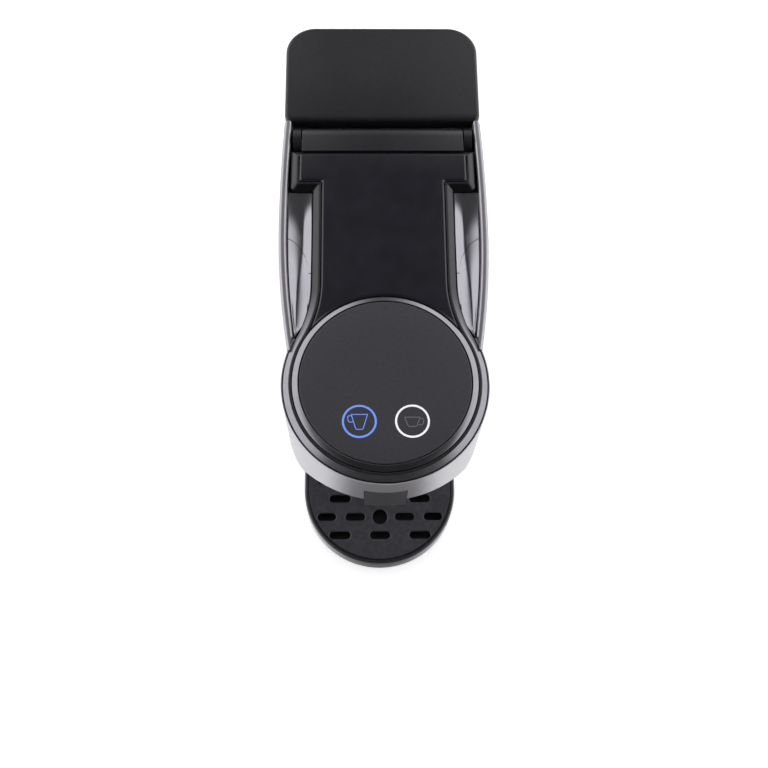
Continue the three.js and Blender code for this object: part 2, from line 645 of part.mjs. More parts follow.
// ---- drip tray, grid and the bin for used pods
function makeTray() {
  const trayBack = columnFront - gap;
  const floorBottom = baseTop + gap;
  const floorTop = floorBottom + trayWall;
  const outer = extrude('z', trayPlan(0, trayBack), footHeight + gap, trayHeight, arcSteps);
  const under = extrude('z', trayPlan(trayWall + 1.5 - gap * 3, trayBack + 1), 0, floorBottom, arcSteps);
  const pan = extrude('z', trayPlan(trayWall + 2, trayBack - trayWall - 2), floorTop, top, arcSteps);
  const seat = extrude('z', trayPlan(trayWall, trayBack - trayWall), trayHeight - gridWall - 1,
    top, arcSteps);
  const shelfHalf = binWidth / 2 - 1;
  const shelf = block(-shelfHalf, shelfHalf, trayBack - 2, binBack - 2, floorBottom, floorTop);
  add('drip_tray', outer.subtract(under).subtract(pan).subtract(seat).add(shelf), 'silver');

  const gridTop = trayHeight - 0.7;
  let grid = extrude('z', trayPlan(trayWall + gap, trayBack - trayWall - gap),
    gridTop - gridWall, gridTop, arcSteps);
  const longRow = [[16.4, 13.2], [35.4, 12.4]];
  const shortRow = [[0, 13.6], [26.6, 14.2]];
  const frontRow = trayY - 31.4;
  for (let row = 0; row < 6; row += 1) {
    const y = frontRow + row * slotRowStep;
    for (const [x, length] of row % 2 ? longRow : shortRow) {
      for (const side of x ? [-1, 1] : [1]) {
        grid = grid.subtract(extrude('z', slotShape(side * x, y, length), 0, top, 2));
      }
    }
  }
  grid = grid.subtract(rod('z', 5, 0, top, 0, frontRow + slotRowStep, 20));
  add('drip_grid', grid, 'satin');

  const half = binWidth / 2;
  const bin = block(-half, half, binFront, binBack, binBottom, binBottom + binHeight)
    .subtract(block(-half + binWall, half - binWall, binFront + binWall, binBack - binWall,
      binBottom + binWall, top));
  add('pod_bin', bin, 'black');
}

// ---- water tank with its lid and valve, the dock it stands on, and the cord gland
function tankOutline(inset) {
  const half = bodyHalf(tankFront) - inset;
  return roundedBox(half, tankFront + inset, back - inset, 4, tankCorner - inset);
}

function makeTank() {
  const dockBottom = baseTop + gap;
  const dockTop = dockBottom + dockHeight;
  const seatRadius = valveRadius + 2;
  const dock = extrude('z', tankOutline(1), dockBottom, dockTop, arcSteps)
    .subtract(extrude('z', tankOutline(3.5), dockBottom - 1, dockTop - 2.5, arcSteps))
    .add(rod('z', seatRadius + 2.5, dockBottom, dockTop, 0, valveY, 24))
    .subtract(rod('z', seatRadius, dockTop - 12, top, 0, valveY, 24))
    .subtract(rod('z', 3.5, 0, dockTop, 0, valveY, 12))
    .subtract(rod('y', hoseRoom, tankFront - 1, tankFront + 8, 0, inletZ, 12))
    .subtract(block(-8, 8, back - 8, back + 1, dockBottom - 1, dockBottom + 14));
  add('tank_dock', dock, 'black');
  add('dock_seal', rod('z', seatRadius - gap, dockTop - 12 + gap, dockTop - 8, 0, valveY, 24)
    .subtract(rod('z', 3.5, 0, dockTop, 0, valveY, 12)), 'rubber');
  add('cord_gland', rod('y', 6, back - 9, back - 0.5, 0, dockBottom + 7, 20)
    .add(block(-7.6, 7.6, back - 11.5, back - 9, dockBottom + 0.1, dockBottom + 13.5))
    .subtract(rod('y', 3.2, back - 20, back + 1, 0, dockBottom + 7, 12)), 'rubber');

  const hingeHole = rod('x', 1.6, -bodyWidth, bodyWidth, lidHingeY, lidHingeZ, 10);
  const lugPlaces = [-32, 32];
  const lugBottom = tankTop - 6;
  const lugs = lugPlaces.map((x) => rod('x', lugRadius, x - 2, x + 2, lidHingeY, lidHingeZ, 20)
    .add(block(x - 2, x + 2, lidHingeY - lugRadius, lidHingeY + lugRadius, lugBottom, lidHingeZ))
    .add(block(x - 2, x + 2, lidHingeY - lugRadius, back - 0.4, lugBottom, lidHingeZ - lidSwing)));
  const relief = rod('x', lidSwing, -bodyWidth, bodyWidth, lidHingeY, lidHingeZ, 32);
  const tank = extrude('z', tankOutline(0), tankBottom, tankTop, arcSteps)
    .subtract(extrude('z', tankOutline(tankWall), tankBottom + tankWall, top, arcSteps))
    .subtract(relief)
    .add(all(lugs))
    .subtract(rod('z', valveRadius - 2, 0, tankBottom + 10, 0, valveY, 20))
    .subtract(hingeHole);
  add('water_tank', tank, 'smoke');

  const lidTop = lidBottom + lidHeight;
  let lid = extrude('z', tankOutline(0), lidBottom, lidTop, arcSteps)
    .subtract(extrude('z', tankOutline(2.5), lidBottom - 1, lidTop - 2.5, arcSteps))
    .add(rod('x', 2.8, -40, 40, lidHingeY, lidHingeZ, 16)
      .intersect(block(-40, 40, front, back, lidBottom, lidTop)));
  for (const x of lugPlaces) {
    lid = lid.subtract(block(x - 2.4, x + 2.4, lidHingeY - lugRadius - 1, back + 1, 0,
      lidHingeZ + lugRadius + 1));
  }
  add('tank_lid', lid.subtract(hingeHole), 'black');
  add('lid_pin', rod('x', 1.3, -38, 38, lidHingeY, lidHingeZ, 10), 'steel');

  const valve = rod('z', valveRadius - 2 - gap, tankBottom - 7, tankBottom + 8, 0, valveY, 20)
    .add(rod('z', valveRadius, tankBottom + tankWall + gap, tankBottom + tankWall + 3, 0,
      valveY, 20))
    .subtract(rod('z', 2.6, 0, top, 0, valveY, 12));
  add('tank_valve', valve, 'inner');
  const plungerTop = tankBottom + 11;
  add('valve_plunger', rod('z', 1.9, tankBottom - 6, plungerTop, 0, valveY, 12)
    .add(rod('z', 4, tankBottom + 8 + gap, plungerTop, 0, valveY, 16)), 'steel');
}

makeBase();
makeColumn();
makeHead();
makeLever();
makeBrewer();
makeWorks();
makeTray();
makeTank();

export default machine;
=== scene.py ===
# %% [markdown]
# # A slim pod coffee machine
# The machine stands with its round head towards -Y, its tank at the back and its
# touch disc on top. The CAD frame already says where each part is and how it moves.
# This notebook gives each visible part its real surface: lacquered skins, a glossy
# lever, a fine-grained touch disc, a slotted grid, a smoky tank.

# %% Load the frame
import json
import math

import bmesh
import bpy
import numpy as np
from mathutils import Matrix, Vector

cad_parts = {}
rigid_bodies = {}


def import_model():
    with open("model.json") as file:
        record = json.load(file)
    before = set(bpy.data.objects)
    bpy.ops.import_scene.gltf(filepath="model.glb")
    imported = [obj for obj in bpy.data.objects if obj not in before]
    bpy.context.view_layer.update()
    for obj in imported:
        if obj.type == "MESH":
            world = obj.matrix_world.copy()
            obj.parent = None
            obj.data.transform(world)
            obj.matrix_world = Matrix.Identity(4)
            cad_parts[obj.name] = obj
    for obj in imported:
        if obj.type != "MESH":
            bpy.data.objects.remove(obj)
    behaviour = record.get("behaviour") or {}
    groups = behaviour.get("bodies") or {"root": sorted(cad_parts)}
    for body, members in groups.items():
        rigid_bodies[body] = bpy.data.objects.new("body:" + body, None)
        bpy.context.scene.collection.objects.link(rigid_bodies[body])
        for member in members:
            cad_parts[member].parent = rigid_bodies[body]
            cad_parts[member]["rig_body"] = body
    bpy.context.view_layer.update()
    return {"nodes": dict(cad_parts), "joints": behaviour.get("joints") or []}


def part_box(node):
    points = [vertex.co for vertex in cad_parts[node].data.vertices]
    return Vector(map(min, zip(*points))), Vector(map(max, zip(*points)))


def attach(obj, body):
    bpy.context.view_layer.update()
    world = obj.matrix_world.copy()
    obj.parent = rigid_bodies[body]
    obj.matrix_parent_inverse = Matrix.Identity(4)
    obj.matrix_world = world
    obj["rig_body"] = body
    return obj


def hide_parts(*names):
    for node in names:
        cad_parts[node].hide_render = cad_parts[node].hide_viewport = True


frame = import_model()
nodes = frame["nodes"]
mm = 0.001

# %% [markdown]
# ## Driving sizes
# All shapes below are worked out in millimetres, and turned into metres when a mesh
# is made. Places come from the boxes of the CAD nodes, so a piece follows its node
# if the design changes. Only what a box can't tell is written as a number: the bows,
# the fillets, the walls and the small radii of an edge.


# %% Sizes read from the frame
def box(node):
    """Lowest and highest corner of a CAD node, in millimetres."""
    low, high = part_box(node)
    return np.array(low) / mm, np.array(high) / mm


def round_place(node):
    """Centre x and y, radius, lowest and highest z of a round upright CAD node."""
    low, high = box(node)
    return (low[0] + high[0]) / 2, (low[1] + high[1]) / 2, (high[0] - low[0]) / 2, low[2], high[2]


def joint_place(name):
    """Y and Z of a hinge axis, in millimetres."""
    found = next(j for j in frame["joints"] if j["name"] == name)
    return found["pos_m"][1] / mm, found["pos_m"][2] / mm


gap = 0.3               # clearance between neighbouring pieces
_, head_y, disc_radius, disc_bottom, top = round_place("touch_disc")
lever_low, lever_high = box("lever_frame")
rim_radius, frame_top = lever_high[0], lever_high[2]
shell_low, shell_high = box("head_shell")
head_radius = shell_high[0]
machine_front, neck_bottom = shell_low[1], shell_low[2]
body_half = box("side_skin_right")[1][0]
column_front = box("pod_bin")[0][1] - gap
hinge_y, hinge_z = joint_place("lever_lift")
lid_hinge_y, lid_hinge_z = joint_place("lid_hinge")

lever_height = 8.2
lever_border = 4.2      # frame that shows around the inlay
neck_half = 36.3        # half width of the lever's neck
neck_fillet = 62.0      # radius between the neck and the round end
bar_depth = 32.0        # front edge of the cross bar to the hinge axis
bow_reach = 88.0        # head centre to the widest place of the skins
bow_front, bow_rear = 440.0, 1000.0     # radius of the bow ahead of that place and behind it
skin_wall = 4.2
bar_front = hinge_y - bar_depth
bow_y = head_y + bow_reach
print(f"top {top:.1f}, head centre y {head_y:.1f}, hinge at y {hinge_y:.1f} z {hinge_z:.1f}")


# %% [markdown]
# ## Camera
# The machine is seen from the front, high above its head. The camera is given by
# the point that it looks at, its distance, two angles and a small roll. A matrix built
# from its right, up and forward directions sets all of that at once, with no empties.


# %% Camera
def add_camera(aim, distance, azimuth, elevation, roll, lens):
    """Camera at `distance` from `aim`; its right and up vectors are turned by `roll`."""
    a, e, r = map(math.radians, (azimuth, elevation, roll))
    forward = Vector((math.sin(a) * math.cos(e), math.cos(a) * math.cos(e), -math.sin(e)))
    level = Vector((math.cos(a), -math.sin(a), 0))
    upward = level.cross(forward)
    right = math.cos(r) * level + math.sin(r) * upward
    up = math.cos(r) * upward - math.sin(r) * level
    data = bpy.data.cameras.new("camera")
    data.lens = lens
    data.sensor_width = 36
    data.clip_start = 0.01
    camera = bpy.data.objects.new("camera", data)
    rotation = Matrix((right, up, -forward)).transposed().to_4x4()
    camera.matrix_world = Matrix.Translation(Vector(aim) - forward * distance) @ rotation
    bpy.context.scene.collection.objects.link(camera)
    bpy.context.scene.camera = camera
    return camera


camera = add_camera(
    aim=(-0.73 * mm, (head_y - 1.8) * mm, top * mm),
    distance=539.4 * mm, azimuth=3.07, elevation=69.57, roll=2.65, lens=52.245,
)
print("camera at", [round(c, 3) for c in camera.matrix_world.translation])

# %% [markdown]
# ## Studio
# Silver lacquer and gloss black show hardly any colour of their own: they show the
# room. So the room is a white tent, bright at both sides and at the back, and dark
# overhead and towards the front. Lamps and cards could do it; here it is painted on
# the world by direction, which is soft and free of noise. The camera itself sees plain
# white. The floor is pale and glows a little, as a light table does. Reflections alone
# find a soft dark patch in it ahead of the machine, which darkens the head's front.


# %% Node helpers
def add_node(tree, kind, **values):
    """A node of that kind; a value sets a socket of that name, or else an attribute."""
    node = tree.nodes.new(kind)
    for key, value in values.items():
        name = key.replace("_", " ").title()
        if hasattr(node, key):
            setattr(node, key, value)
        else:
            node.inputs[name].default_value = value
    return node


def connect(tree, *pairs):
    """Links (from socket, to socket) pairs."""
    for source, target in pairs:
        tree.links.new(source, target)


def ramp(tree, source, low, high, to_low=0.0, to_high=1.0):
    """Smooth step from to_low to to_high while source goes from low to high."""
    node = add_node(tree, "ShaderNodeMapRange", interpolation_type="SMOOTHSTEP")
    limits = {"From Min": low, "From Max": high, "To Min": to_low, "To Max": to_high}
    for name, value in limits.items():
        node.inputs[name].default_value = value
    tree.links.new(source, node.inputs["Value"])
    return node.outputs["Result"]


def maths(tree, operation, a, b=0.0):
    """One math node; a and b are sockets or numbers."""
    node = add_node(tree, "ShaderNodeMath", operation=operation)
    for slot, value in zip(node.inputs, (a, b)):
        if isinstance(value, bpy.types.NodeSocket):
            tree.links.new(value, slot)
        else:
            slot.default_value = value
    return node.outputs[0]


print("node helpers ready")

# %% World
wall_light, fill_light = 1.7, 0.06    # strength of the tent's walls, and of all the rest


def add_world():
    """Brightness by direction (each of x, y, z from -1 to 1): sides + back, less overhead."""
    world = bpy.data.worlds.new("studio")
    world.use_nodes = True
    bpy.context.scene.world = world
    tree = world.node_tree
    background = tree.nodes["Background"]
    split = add_node(tree, "ShaderNodeSeparateXYZ")
    coordinate = add_node(tree, "ShaderNodeTexCoord")
    tree.links.new(coordinate.outputs["Generated"], split.inputs["Vector"])
    x, y, z = split.outputs
    across = maths(tree, "ABSOLUTE", x)
    side = maths(tree, "MULTIPLY", ramp(tree, across, 0.30, 0.62), ramp(tree, y, -0.15, 0.32, 0.08))
    rear = maths(tree, "MULTIPLY", ramp(tree, y, 0.35, 0.75), ramp(tree, across, 0.04, 0.34, 0.12))
    low_side = maths(tree, "MULTIPLY", ramp(tree, across, 0.60, 0.76), ramp(tree, y, -0.75, -0.35))
    wall = maths(tree, "MAXIMUM", maths(tree, "MAXIMUM", side, low_side), rear)
    overhead = ramp(tree, z, 0.72, 0.93, 1.0, 0.05)
    horizon = ramp(tree, z, 0.02, 0.20, 0.85, 0.0)
    light = maths(tree, "MULTIPLY", maths(tree, "MULTIPLY", wall, overhead), wall_light)
    light = maths(tree, "ADD", maths(tree, "MAXIMUM", light, horizon), fill_light)
    seen = add_node(tree, "ShaderNodeLightPath").outputs["Is Camera Ray"]
    tree.links.new(maths(tree, "MAXIMUM", light, seen), background.inputs["Strength"])
    background.inputs["Color"].default_value = (0.98, 0.985, 1.0, 1)
    print("world with", len(tree.nodes), "nodes")


add_world()

# %% [markdown]
# The floor is one wide sheet. It carries the soft shadow under the machine, and a
# glossy ray that meets it near the front finds the dark patch, which fades out along
# its radius. A black card would do the same, but it would also throw a shadow.


# %% Floor
patch_ahead, patch_aside = 74.0, 0.0  # centre of the dark patch, from the middle of the head's front
patch_core, patch_rim = 58.0, 124.0   # radius where it is darkest, and where it ends
patch_dark = 0.97
floor_light = 0.62
floor_reach = 6.0                     # metres from the machine to the floor's edge


def add_floor():
    """A wide pale sheet under the feet; reflections find a soft dark patch on it in front."""
    mesh = bpy.data.meshes.new("floor")
    corners = [(x * floor_reach, y * floor_reach, 0) for x, y in ((-1, -1), (1, -1), (1, 1), (-1, 1))]
    mesh.from_pydata(corners, [], [(0, 1, 2, 3)])
    floor = bpy.data.objects.new("floor", mesh)
    bpy.context.scene.collection.objects.link(floor)
    material = bpy.data.materials.new("pale_floor")
    material.use_nodes = True
    tree = material.node_tree
    shader = tree.nodes["Principled BSDF"]
    shader.inputs["Roughness"].default_value = 0.9
    shader.inputs["Emission Color"].default_value = (1, 1, 1, 1)
    place = add_node(tree, "ShaderNodeTexCoord").outputs["Object"]
    away = add_node(tree, "ShaderNodeVectorMath", operation="DISTANCE")
    away.inputs[1].default_value = (patch_aside * mm, (machine_front - patch_ahead) * mm, 0)
    tree.links.new(place, away.inputs[0])
    patch = ramp(tree, away.outputs["Value"], patch_core * mm, patch_rim * mm, patch_dark, 0.0)
    mirrored = add_node(tree, "ShaderNodeLightPath").outputs["Is Glossy Ray"]
    left = maths(tree, "SUBTRACT", 1.0, maths(tree, "MULTIPLY", patch, mirrored))
    paper = add_node(tree, "ShaderNodeVectorMath", operation="SCALE")
    paper.inputs[0].default_value = (0.93, 0.93, 0.935)
    connect(tree, (left, paper.inputs["Scale"]), (paper.outputs[0], shader.inputs["Base Color"]),
            (maths(tree, "MULTIPLY", left, floor_light), shader.inputs["Emission Strength"]))
    mesh.materials.append(material)


add_floor()
bpy.context.scene.view_settings.view_transform = "Standard"
print("studio ready")

# %% [markdown]
# ## Shader groups
# Three effects come back in many finishes, so each is a node group: fine moulded
# grain, soft smudges that fingers leave, and the flakes of metallic lacquer. Copied
# nodes would drift apart; a group keeps one recipe and takes only a scale. Each reads
# the object's own coordinates and puts out plain values.


# %% Groups
def new_group(name, inputs, outputs):
    """A shader group with named float sockets; returns the tree, its input and output nodes."""
    tree = bpy.data.node_groups.new(name, "ShaderNodeTree")
    for socket, value in inputs.items():
        item = tree.interface.new_socket(socket, in_out="INPUT", socket_type="NodeSocketFloat")
        item.default_value = value
    for socket in outputs:
        tree.interface.new_socket(socket, in_out="OUTPUT", socket_type="NodeSocketFloat")
    return tree, tree.nodes.new("NodeGroupInput"), tree.nodes.new("NodeGroupOutput")


def noise(tree, vector, scale, detail=2.0, roughness=0.5):
    """Noise texture; scale is a socket or a number."""
    node = add_node(tree, "ShaderNodeTexNoise", detail=detail, roughness=roughness)
    tree.links.new(vector, node.inputs["Vector"])
    if isinstance(scale, bpy.types.NodeSocket):
        tree.links.new(scale, node.inputs["Scale"])
    else:
        node.inputs["Scale"].default_value = scale
    return node.outputs["Fac"]


def make_grain():
    """Height = fine noise; Tone = the same at four times the size, from -1 to 1."""
    tree, given, out = new_group("grain", {"Scale": 900.0}, ["Height", "Tone"])
    vector = add_node(tree, "ShaderNodeTexCoord").outputs["Object"]
    fine = noise(tree, vector, given.outputs["Scale"], 3.0, 0.6)
    coarse = noise(tree, vector, maths(tree, "MULTIPLY", given.outputs["Scale"], 0.25), 2.0)
    tone = ramp(tree, coarse, 0.3, 0.7, -1.0, 1.0)
    connect(tree, (fine, out.inputs["Height"]), (tone, out.inputs["Tone"]))
    return tree


def make_smudge():
    """Mask = broad noise pushed through fine streaks, where hands have touched."""
    tree, given, out = new_group("smudge", {"Scale": 30.0}, ["Mask"])
    vector = add_node(tree, "ShaderNodeTexCoord").outputs["Object"]
    broad = noise(tree, vector, given.outputs["Scale"], 4.0, 0.6)
    streak = noise(tree, vector, maths(tree, "MULTIPLY", given.outputs["Scale"], 9.0), 2.0)
    mask = maths(tree, "MULTIPLY", ramp(tree, broad, 0.45, 0.72), ramp(tree, streak, 0.3, 0.6, 0.5, 1.0))
    tree.links.new(mask, out.inputs["Mask"])
    return tree


def make_flakes():
    """Sparkle = one random value per tiny cell, as aluminium flakes lie in lacquer."""
    tree, given, out = new_group("flakes", {"Scale": 4000.0}, ["Sparkle"])
    vector = add_node(tree, "ShaderNodeTexCoord").outputs["Object"]
    cells = add_node(tree, "ShaderNodeTexVoronoi", feature="F1")
    connect(tree, (vector, cells.inputs["Vector"]), (given.outputs["Scale"], cells.inputs["Scale"]))
    split = add_node(tree, "ShaderNodeSeparateColor")
    connect(tree, (cells.outputs["Color"], split.inputs["Color"]),
            (split.outputs[0], out.inputs["Sparkle"]))
    return tree


groups = {"grain": make_grain(), "smudge": make_smudge(), "flakes": make_flakes()}
print("groups:", ", ".join(groups))

# %% [markdown]
# ## Finishes
# Every finish starts from the Principled shader. The grain group varies its tone
# and its bump, the smudge group its roughness. Metallic lacquer also gets flakes.
# One function builds them all, so that no surface is left with a flat value.


# %% One finish
smudge_scale, flake_scale = 34.0, 3600.0
bump_strength, flake_bump = 0.6, 0.6


def use_group(tree, name, scale):
    """Places one of the groups in a tree, with its own scale."""
    node = tree.nodes.new("ShaderNodeGroup")
    node.node_tree = groups[name]
    node.inputs["Scale"].default_value = scale
    return node


def finish(name, colour, gloss, metal=0.0, grain=900.0, depth=0.02, tone=0.08, smudge=0.06,
           flakes=0.0, **sockets):
    """A material: colour * (1 + tone * grain + flakes), gloss + smudge * mask, bump of `depth` mm."""
    material = bpy.data.materials.new(name + "_look")
    material.use_nodes = True
    tree = material.node_tree
    shader = tree.nodes["Principled BSDF"]
    shader.inputs["Metallic"].default_value = metal
    for key, value in sockets.items():
        shader.inputs[key.replace("_", " ").title().replace("Ior", "IOR")].default_value = value
    fine = use_group(tree, "grain", grain)
    touched = use_group(tree, "smudge", smudge_scale)
    level = maths(tree, "ADD", maths(tree, "MULTIPLY", fine.outputs["Tone"], tone), 1.0)
    height = fine.outputs["Height"]
    if flakes:
        sparkle = use_group(tree, "flakes", flake_scale).outputs["Sparkle"]
        level = maths(tree, "ADD", level, maths(tree, "MULTIPLY", sparkle, flakes))
        height = maths(tree, "ADD", height, maths(tree, "MULTIPLY", sparkle, flake_bump))
    mix = add_node(tree, "ShaderNodeVectorMath", operation="SCALE")
    mix.inputs[0].default_value = colour
    roughness = maths(tree, "ADD", maths(tree, "MULTIPLY", touched.outputs["Mask"], smudge), gloss)
    bump = add_node(tree, "ShaderNodeBump")
    bump.inputs["Strength"].default_value = bump_strength
    bump.inputs["Distance"].default_value = depth * mm
    connect(tree, (level, mix.inputs["Scale"]), (mix.outputs[0], shader.inputs["Base Color"]),
            (roughness, shader.inputs["Roughness"]), (height, bump.inputs["Height"]),
            (bump.outputs["Normal"], shader.inputs["Normal"]))
    return material


# %% [markdown]
# The table holds what a paint shop would ask for, in this order: colour, gloss,
# metal, fineness and depth of the grain, then how much the grain varies the tone, the
# smudges the gloss, and the flakes the tone. The machine is silver outside, black or
# charcoal where it is touched, and the inner parts have the colours of their trades.


# %% Table of finishes
def grey(value, blue=1.0):
    """A grey a little warm in red, with its blue scaled by `blue`."""
    return (value * 1.02, value * 0.985, value * blue)


finishes = {m.name.removesuffix("_look"): m for m in (
    finish("silver_lacquer", grey(0.38, 1.05), 0.36, 0.85, 1400, 0.0004, 0.008, 0.02, 0.02,
           coat_weight=0.3, coat_roughness=0.08),
    finish("shoulder_gloss", grey(0.30, 1.08), 0.13, 0.85, 260, 0.001, 0.03, 0.05, coat_weight=0.4),
    finish("lever_trim", grey(0.24, 1.08), 0.24, 0.9, 900, 0.001, 0.04, 0.05, coat_weight=0.3),
    finish("gloss_black", grey(0.012, 1.25), 0.07, 0, 260, 0.002, 0.12, 0.06, coat_weight=0.6),
    finish("plate_black", grey(0.022, 1.3), 0.16, 0, 300, 0.003, 0.10, 0.07),
    finish("black_plastic", grey(0.020, 1.15), 0.30, 0, 1500, 0.012, 0.10, 0.08),
    finish("charcoal_disc", grey(0.046, 1.16), 0.52, 0, 2300, 0.020, 0.07, 0.03),
    finish("grid_satin", grey(0.074, 1.12), 0.30, 0.25, 1300, 0.016, 0.12, 0.10),
    finish("spout_satin", grey(0.044, 1.1), 0.36, 0.3, 1300, 0.004, 0.05, 0.06),
    finish("dark_chrome", grey(0.25, 1.06), 0.18, 1.0, 700, 0.002, 0.03, 0.08),
    finish("foot_rubber", grey(0.014), 0.78, 0, 2200, 0.05, 0.20, 0.05),
    finish("bright_steel", grey(0.56, 1.02), 0.24, 1.0, 800, 0.004, 0.05, 0.10),
    finish("heater_alloy", grey(0.48), 0.42, 1.0, 1200, 0.03, 0.10, 0.12),
    finish("board_green", (0.012, 0.075, 0.035), 0.36, 0, 600, 0.01, 0.18, 0.08),
    finish("injector_brass", (0.62, 0.44, 0.17), 0.28, 1.0, 900, 0.006, 0.06, 0.12),
    finish("hose_silicone", (0.70, 0.69, 0.64), 0.38, 0, 500, 0.01, 0.05, 0.08, subsurface_weight=0.2),
    finish("inner_plastic", grey(0.024, 1.1), 0.48, 0, 1200, 0.025, 0.14, 0.08),
    finish("cup_sign_grey", grey(0.20, 1.03), 0.5, 0, 1700, 0.01, 0.10, 0.04),
)}
print(len(finishes), "finishes")


# %% [markdown]
# The two rings are lamp covers that glow, and the tank is smoky clear plastic. The trim of
# the lever gets painted shade: its colour is darkened behind the head, where its reflections
# are darker. All three start from a finish like the others and add to its nodes, so their
# grain and smudges match the rest.


# %% Lit rings and the smoky tank
def lit(name, colour, strength):
    """A lamp cover: glows a little less where the light guide is thin."""
    material = finish(name, colour, 0.35, 0, 1500, 0.006, 0.04, 0.04)
    tree = material.node_tree
    shader = tree.nodes["Principled BSDF"]
    vector = add_node(tree, "ShaderNodeTexCoord").outputs["Object"]
    glow = ramp(tree, noise(tree, vector, 260.0), 0.2, 0.8, 0.92, 1.0)
    tint = add_node(tree, "ShaderNodeVectorMath", operation="SCALE")
    tint.inputs[0].default_value = colour
    connect(tree, (glow, tint.inputs["Scale"]), (tint.outputs[0], shader.inputs["Emission Color"]))
    shader.inputs["Emission Strength"].default_value = strength
    return material


def paint_shade_behind(material, start, stop, least):
    """Painted shade: scales the base colour down from 1 to `least` between two places along the machine.
    """
    tree = material.node_tree
    socket = tree.nodes["Principled BSDF"].inputs["Base Color"]
    source = socket.links[0].from_socket
    split = add_node(tree, "ShaderNodeSeparateXYZ")
    scale = add_node(tree, "ShaderNodeVectorMath", operation="SCALE")
    connect(tree, (add_node(tree, "ShaderNodeTexCoord").outputs["Object"], split.inputs["Vector"]),
            (source, scale.inputs[0]),
            (ramp(tree, split.outputs["Y"], start * mm, stop * mm, 1.0, least), scale.inputs["Scale"]),
            (scale.outputs[0], socket))


# Painted shade on the lever's trim: its colour darkens behind the head, standing in for darker
# reflections there.
shade_start, shade_stop = 14.0, 52.0      # places behind the head's centre; the trim darkens between
paint_shade_behind(finishes["lever_trim"], head_y + shade_start, head_y + shade_stop, 0.16)
finishes["lamp_blue"] = lit("lamp_blue", (0.15, 0.26, 0.80), 0.62)
finishes["lamp_white"] = lit("lamp_white", (0.86, 0.86, 0.88), 0.5)
finishes["smoke_tank"] = finish(
    "smoke_tank", (0.42, 0.45, 0.48), 0.05, 0, 180, 0.004, 0.04, 0.06,
    transmission_weight=0.92, ior=1.49,
)
print("lamps and tank added")

# %% [markdown]
# ## How the shapes are worked out
# A part is either a profile carried around an outline, a profile turned about an
# axis, or a sheet given by a function of two values. Each becomes one grid of
# points, computed as a whole array, and the grid gives its faces.


# %% Grids, caps and joined shapes
def grid_faces(rows, columns, wrap_rows=False, wrap_columns=False):
    """Quads between neighbouring points of a grid, as index numbers."""
    index = np.arange(rows * columns).reshape(rows, columns)
    if wrap_rows:
        index = np.vstack([index, index[:1]])
    if wrap_columns:
        index = np.hstack([index, index[:, :1]])
    quads = [index[:-1, :-1], index[:-1, 1:], index[1:, 1:], index[1:, :-1]]
    return np.stack(quads, axis=-1).reshape(-1, 4).tolist()


def sheet(points, wrap_rows=False, wrap_columns=False, caps=False):
    """Shape from points[row, column]; caps closes the first and the last row."""
    rows, columns = points.shape[:2]
    faces = grid_faces(rows, columns, wrap_rows, wrap_columns)
    if caps:
        faces.append(list(range(columns))[::-1])
        faces.append(list(range((rows - 1) * columns, rows * columns)))
    return points.reshape(-1, 3), faces


def together(*shapes):
    """Several shapes as one, their face numbers shifted past each other."""
    points, faces, shift = [], [], 0
    for vertices, polygons in shapes:
        points.append(vertices)
        faces += [[i + shift for i in polygon] for polygon in polygons]
        shift += len(vertices)
    return np.vstack(points), faces


def along(axis, shape):
    """Turns a shape worked out upwards so that it runs along X or Y instead."""
    points, faces = shape
    order = {"z": [0, 1, 2], "x": [2, 0, 1], "y": [1, 2, 0]}[axis]
    return points[:, order], faces


print("a grid of 3 by 4 points has", len(grid_faces(3, 4)), "faces")

# %% [markdown]
# An outline is a function: given an inset, it returns the same outline drawn in by
# that much. Round stretches are arcs, whose radii change with the inset, so that
# nested outlines stay parallel where scaled ones would not.


# %% Outlines
def arc(x, y, radius, start, stop, steps):
    """Points at x + radius cos a, y + radius sin a, for a from start to stop."""
    angle = np.linspace(start, stop, steps)
    return np.stack([x + radius * np.cos(angle), y + radius * np.sin(angle)], axis=1)


def circle(x, y, radius, sides=96):
    """outline(inset): a circle of radius - inset."""
    return lambda inset: arc(x, y, radius - inset, 0, 2 * np.pi * (1 - 1 / sides), sides)


def rounded_box(x0, x1, y0, y1, front=2.0, rear=None, steps=8):
    """outline(inset): a box with round corners, whose radii shrink with the inset."""
    rear = front if rear is None else rear

    def outline(inset):
        """Four quarter arcs, f of the front and r of the rear."""
        f, r = max(front - inset, 0.05), max(rear - inset, 0.05)
        left, right, low, high = x0 + inset, x1 - inset, y0 + inset, y1 - inset
        quarter = np.pi / 2
        return np.vstack([
            arc(right - f, low + f, f, -quarter, 0, steps),
            arc(right - r, high - r, r, 0, quarter, steps),
            arc(left + r, high - r, r, quarter, 2 * quarter, steps),
            arc(left + f, low + f, f, 2 * quarter, 3 * quarter, steps),
        ])
    return outline


print("a circle has", len(circle(0, 0, 1)(0)), "points")

# %% [markdown]
# A profile is a list of (inset, height) or (radius, height). Carried around an
# outline it makes a moulding, turned about an axis it makes a round part, and with
# its corners eased it makes a plate or a rod. The insets are taken from the outline
# itself, so a chamfer keeps its width even in a tight corner.


# %% Profiles, plates and rods
def eased(low, high, edge=0.4):
    """Profile of a plate with quarter-round edges: (inset, height) from low to high."""
    t = np.linspace(0, np.pi / 2, 4)
    rise = np.stack([edge * (1 - np.sin(t)), low + edge * (1 - np.cos(t))], axis=1)
    fall = rise[::-1] * (1, -1) + (0, low + high)
    return np.vstack([rise, fall])


def carried(outline, profile, closed=False):
    """Profile (inset, height) carried around outline(inset); closed joins its two ends."""
    rings = [np.column_stack([outline(d), np.full(len(outline(d)), z)]) for d, z in profile]
    return sheet(np.stack(rings), wrap_rows=closed, wrap_columns=True, caps=not closed)


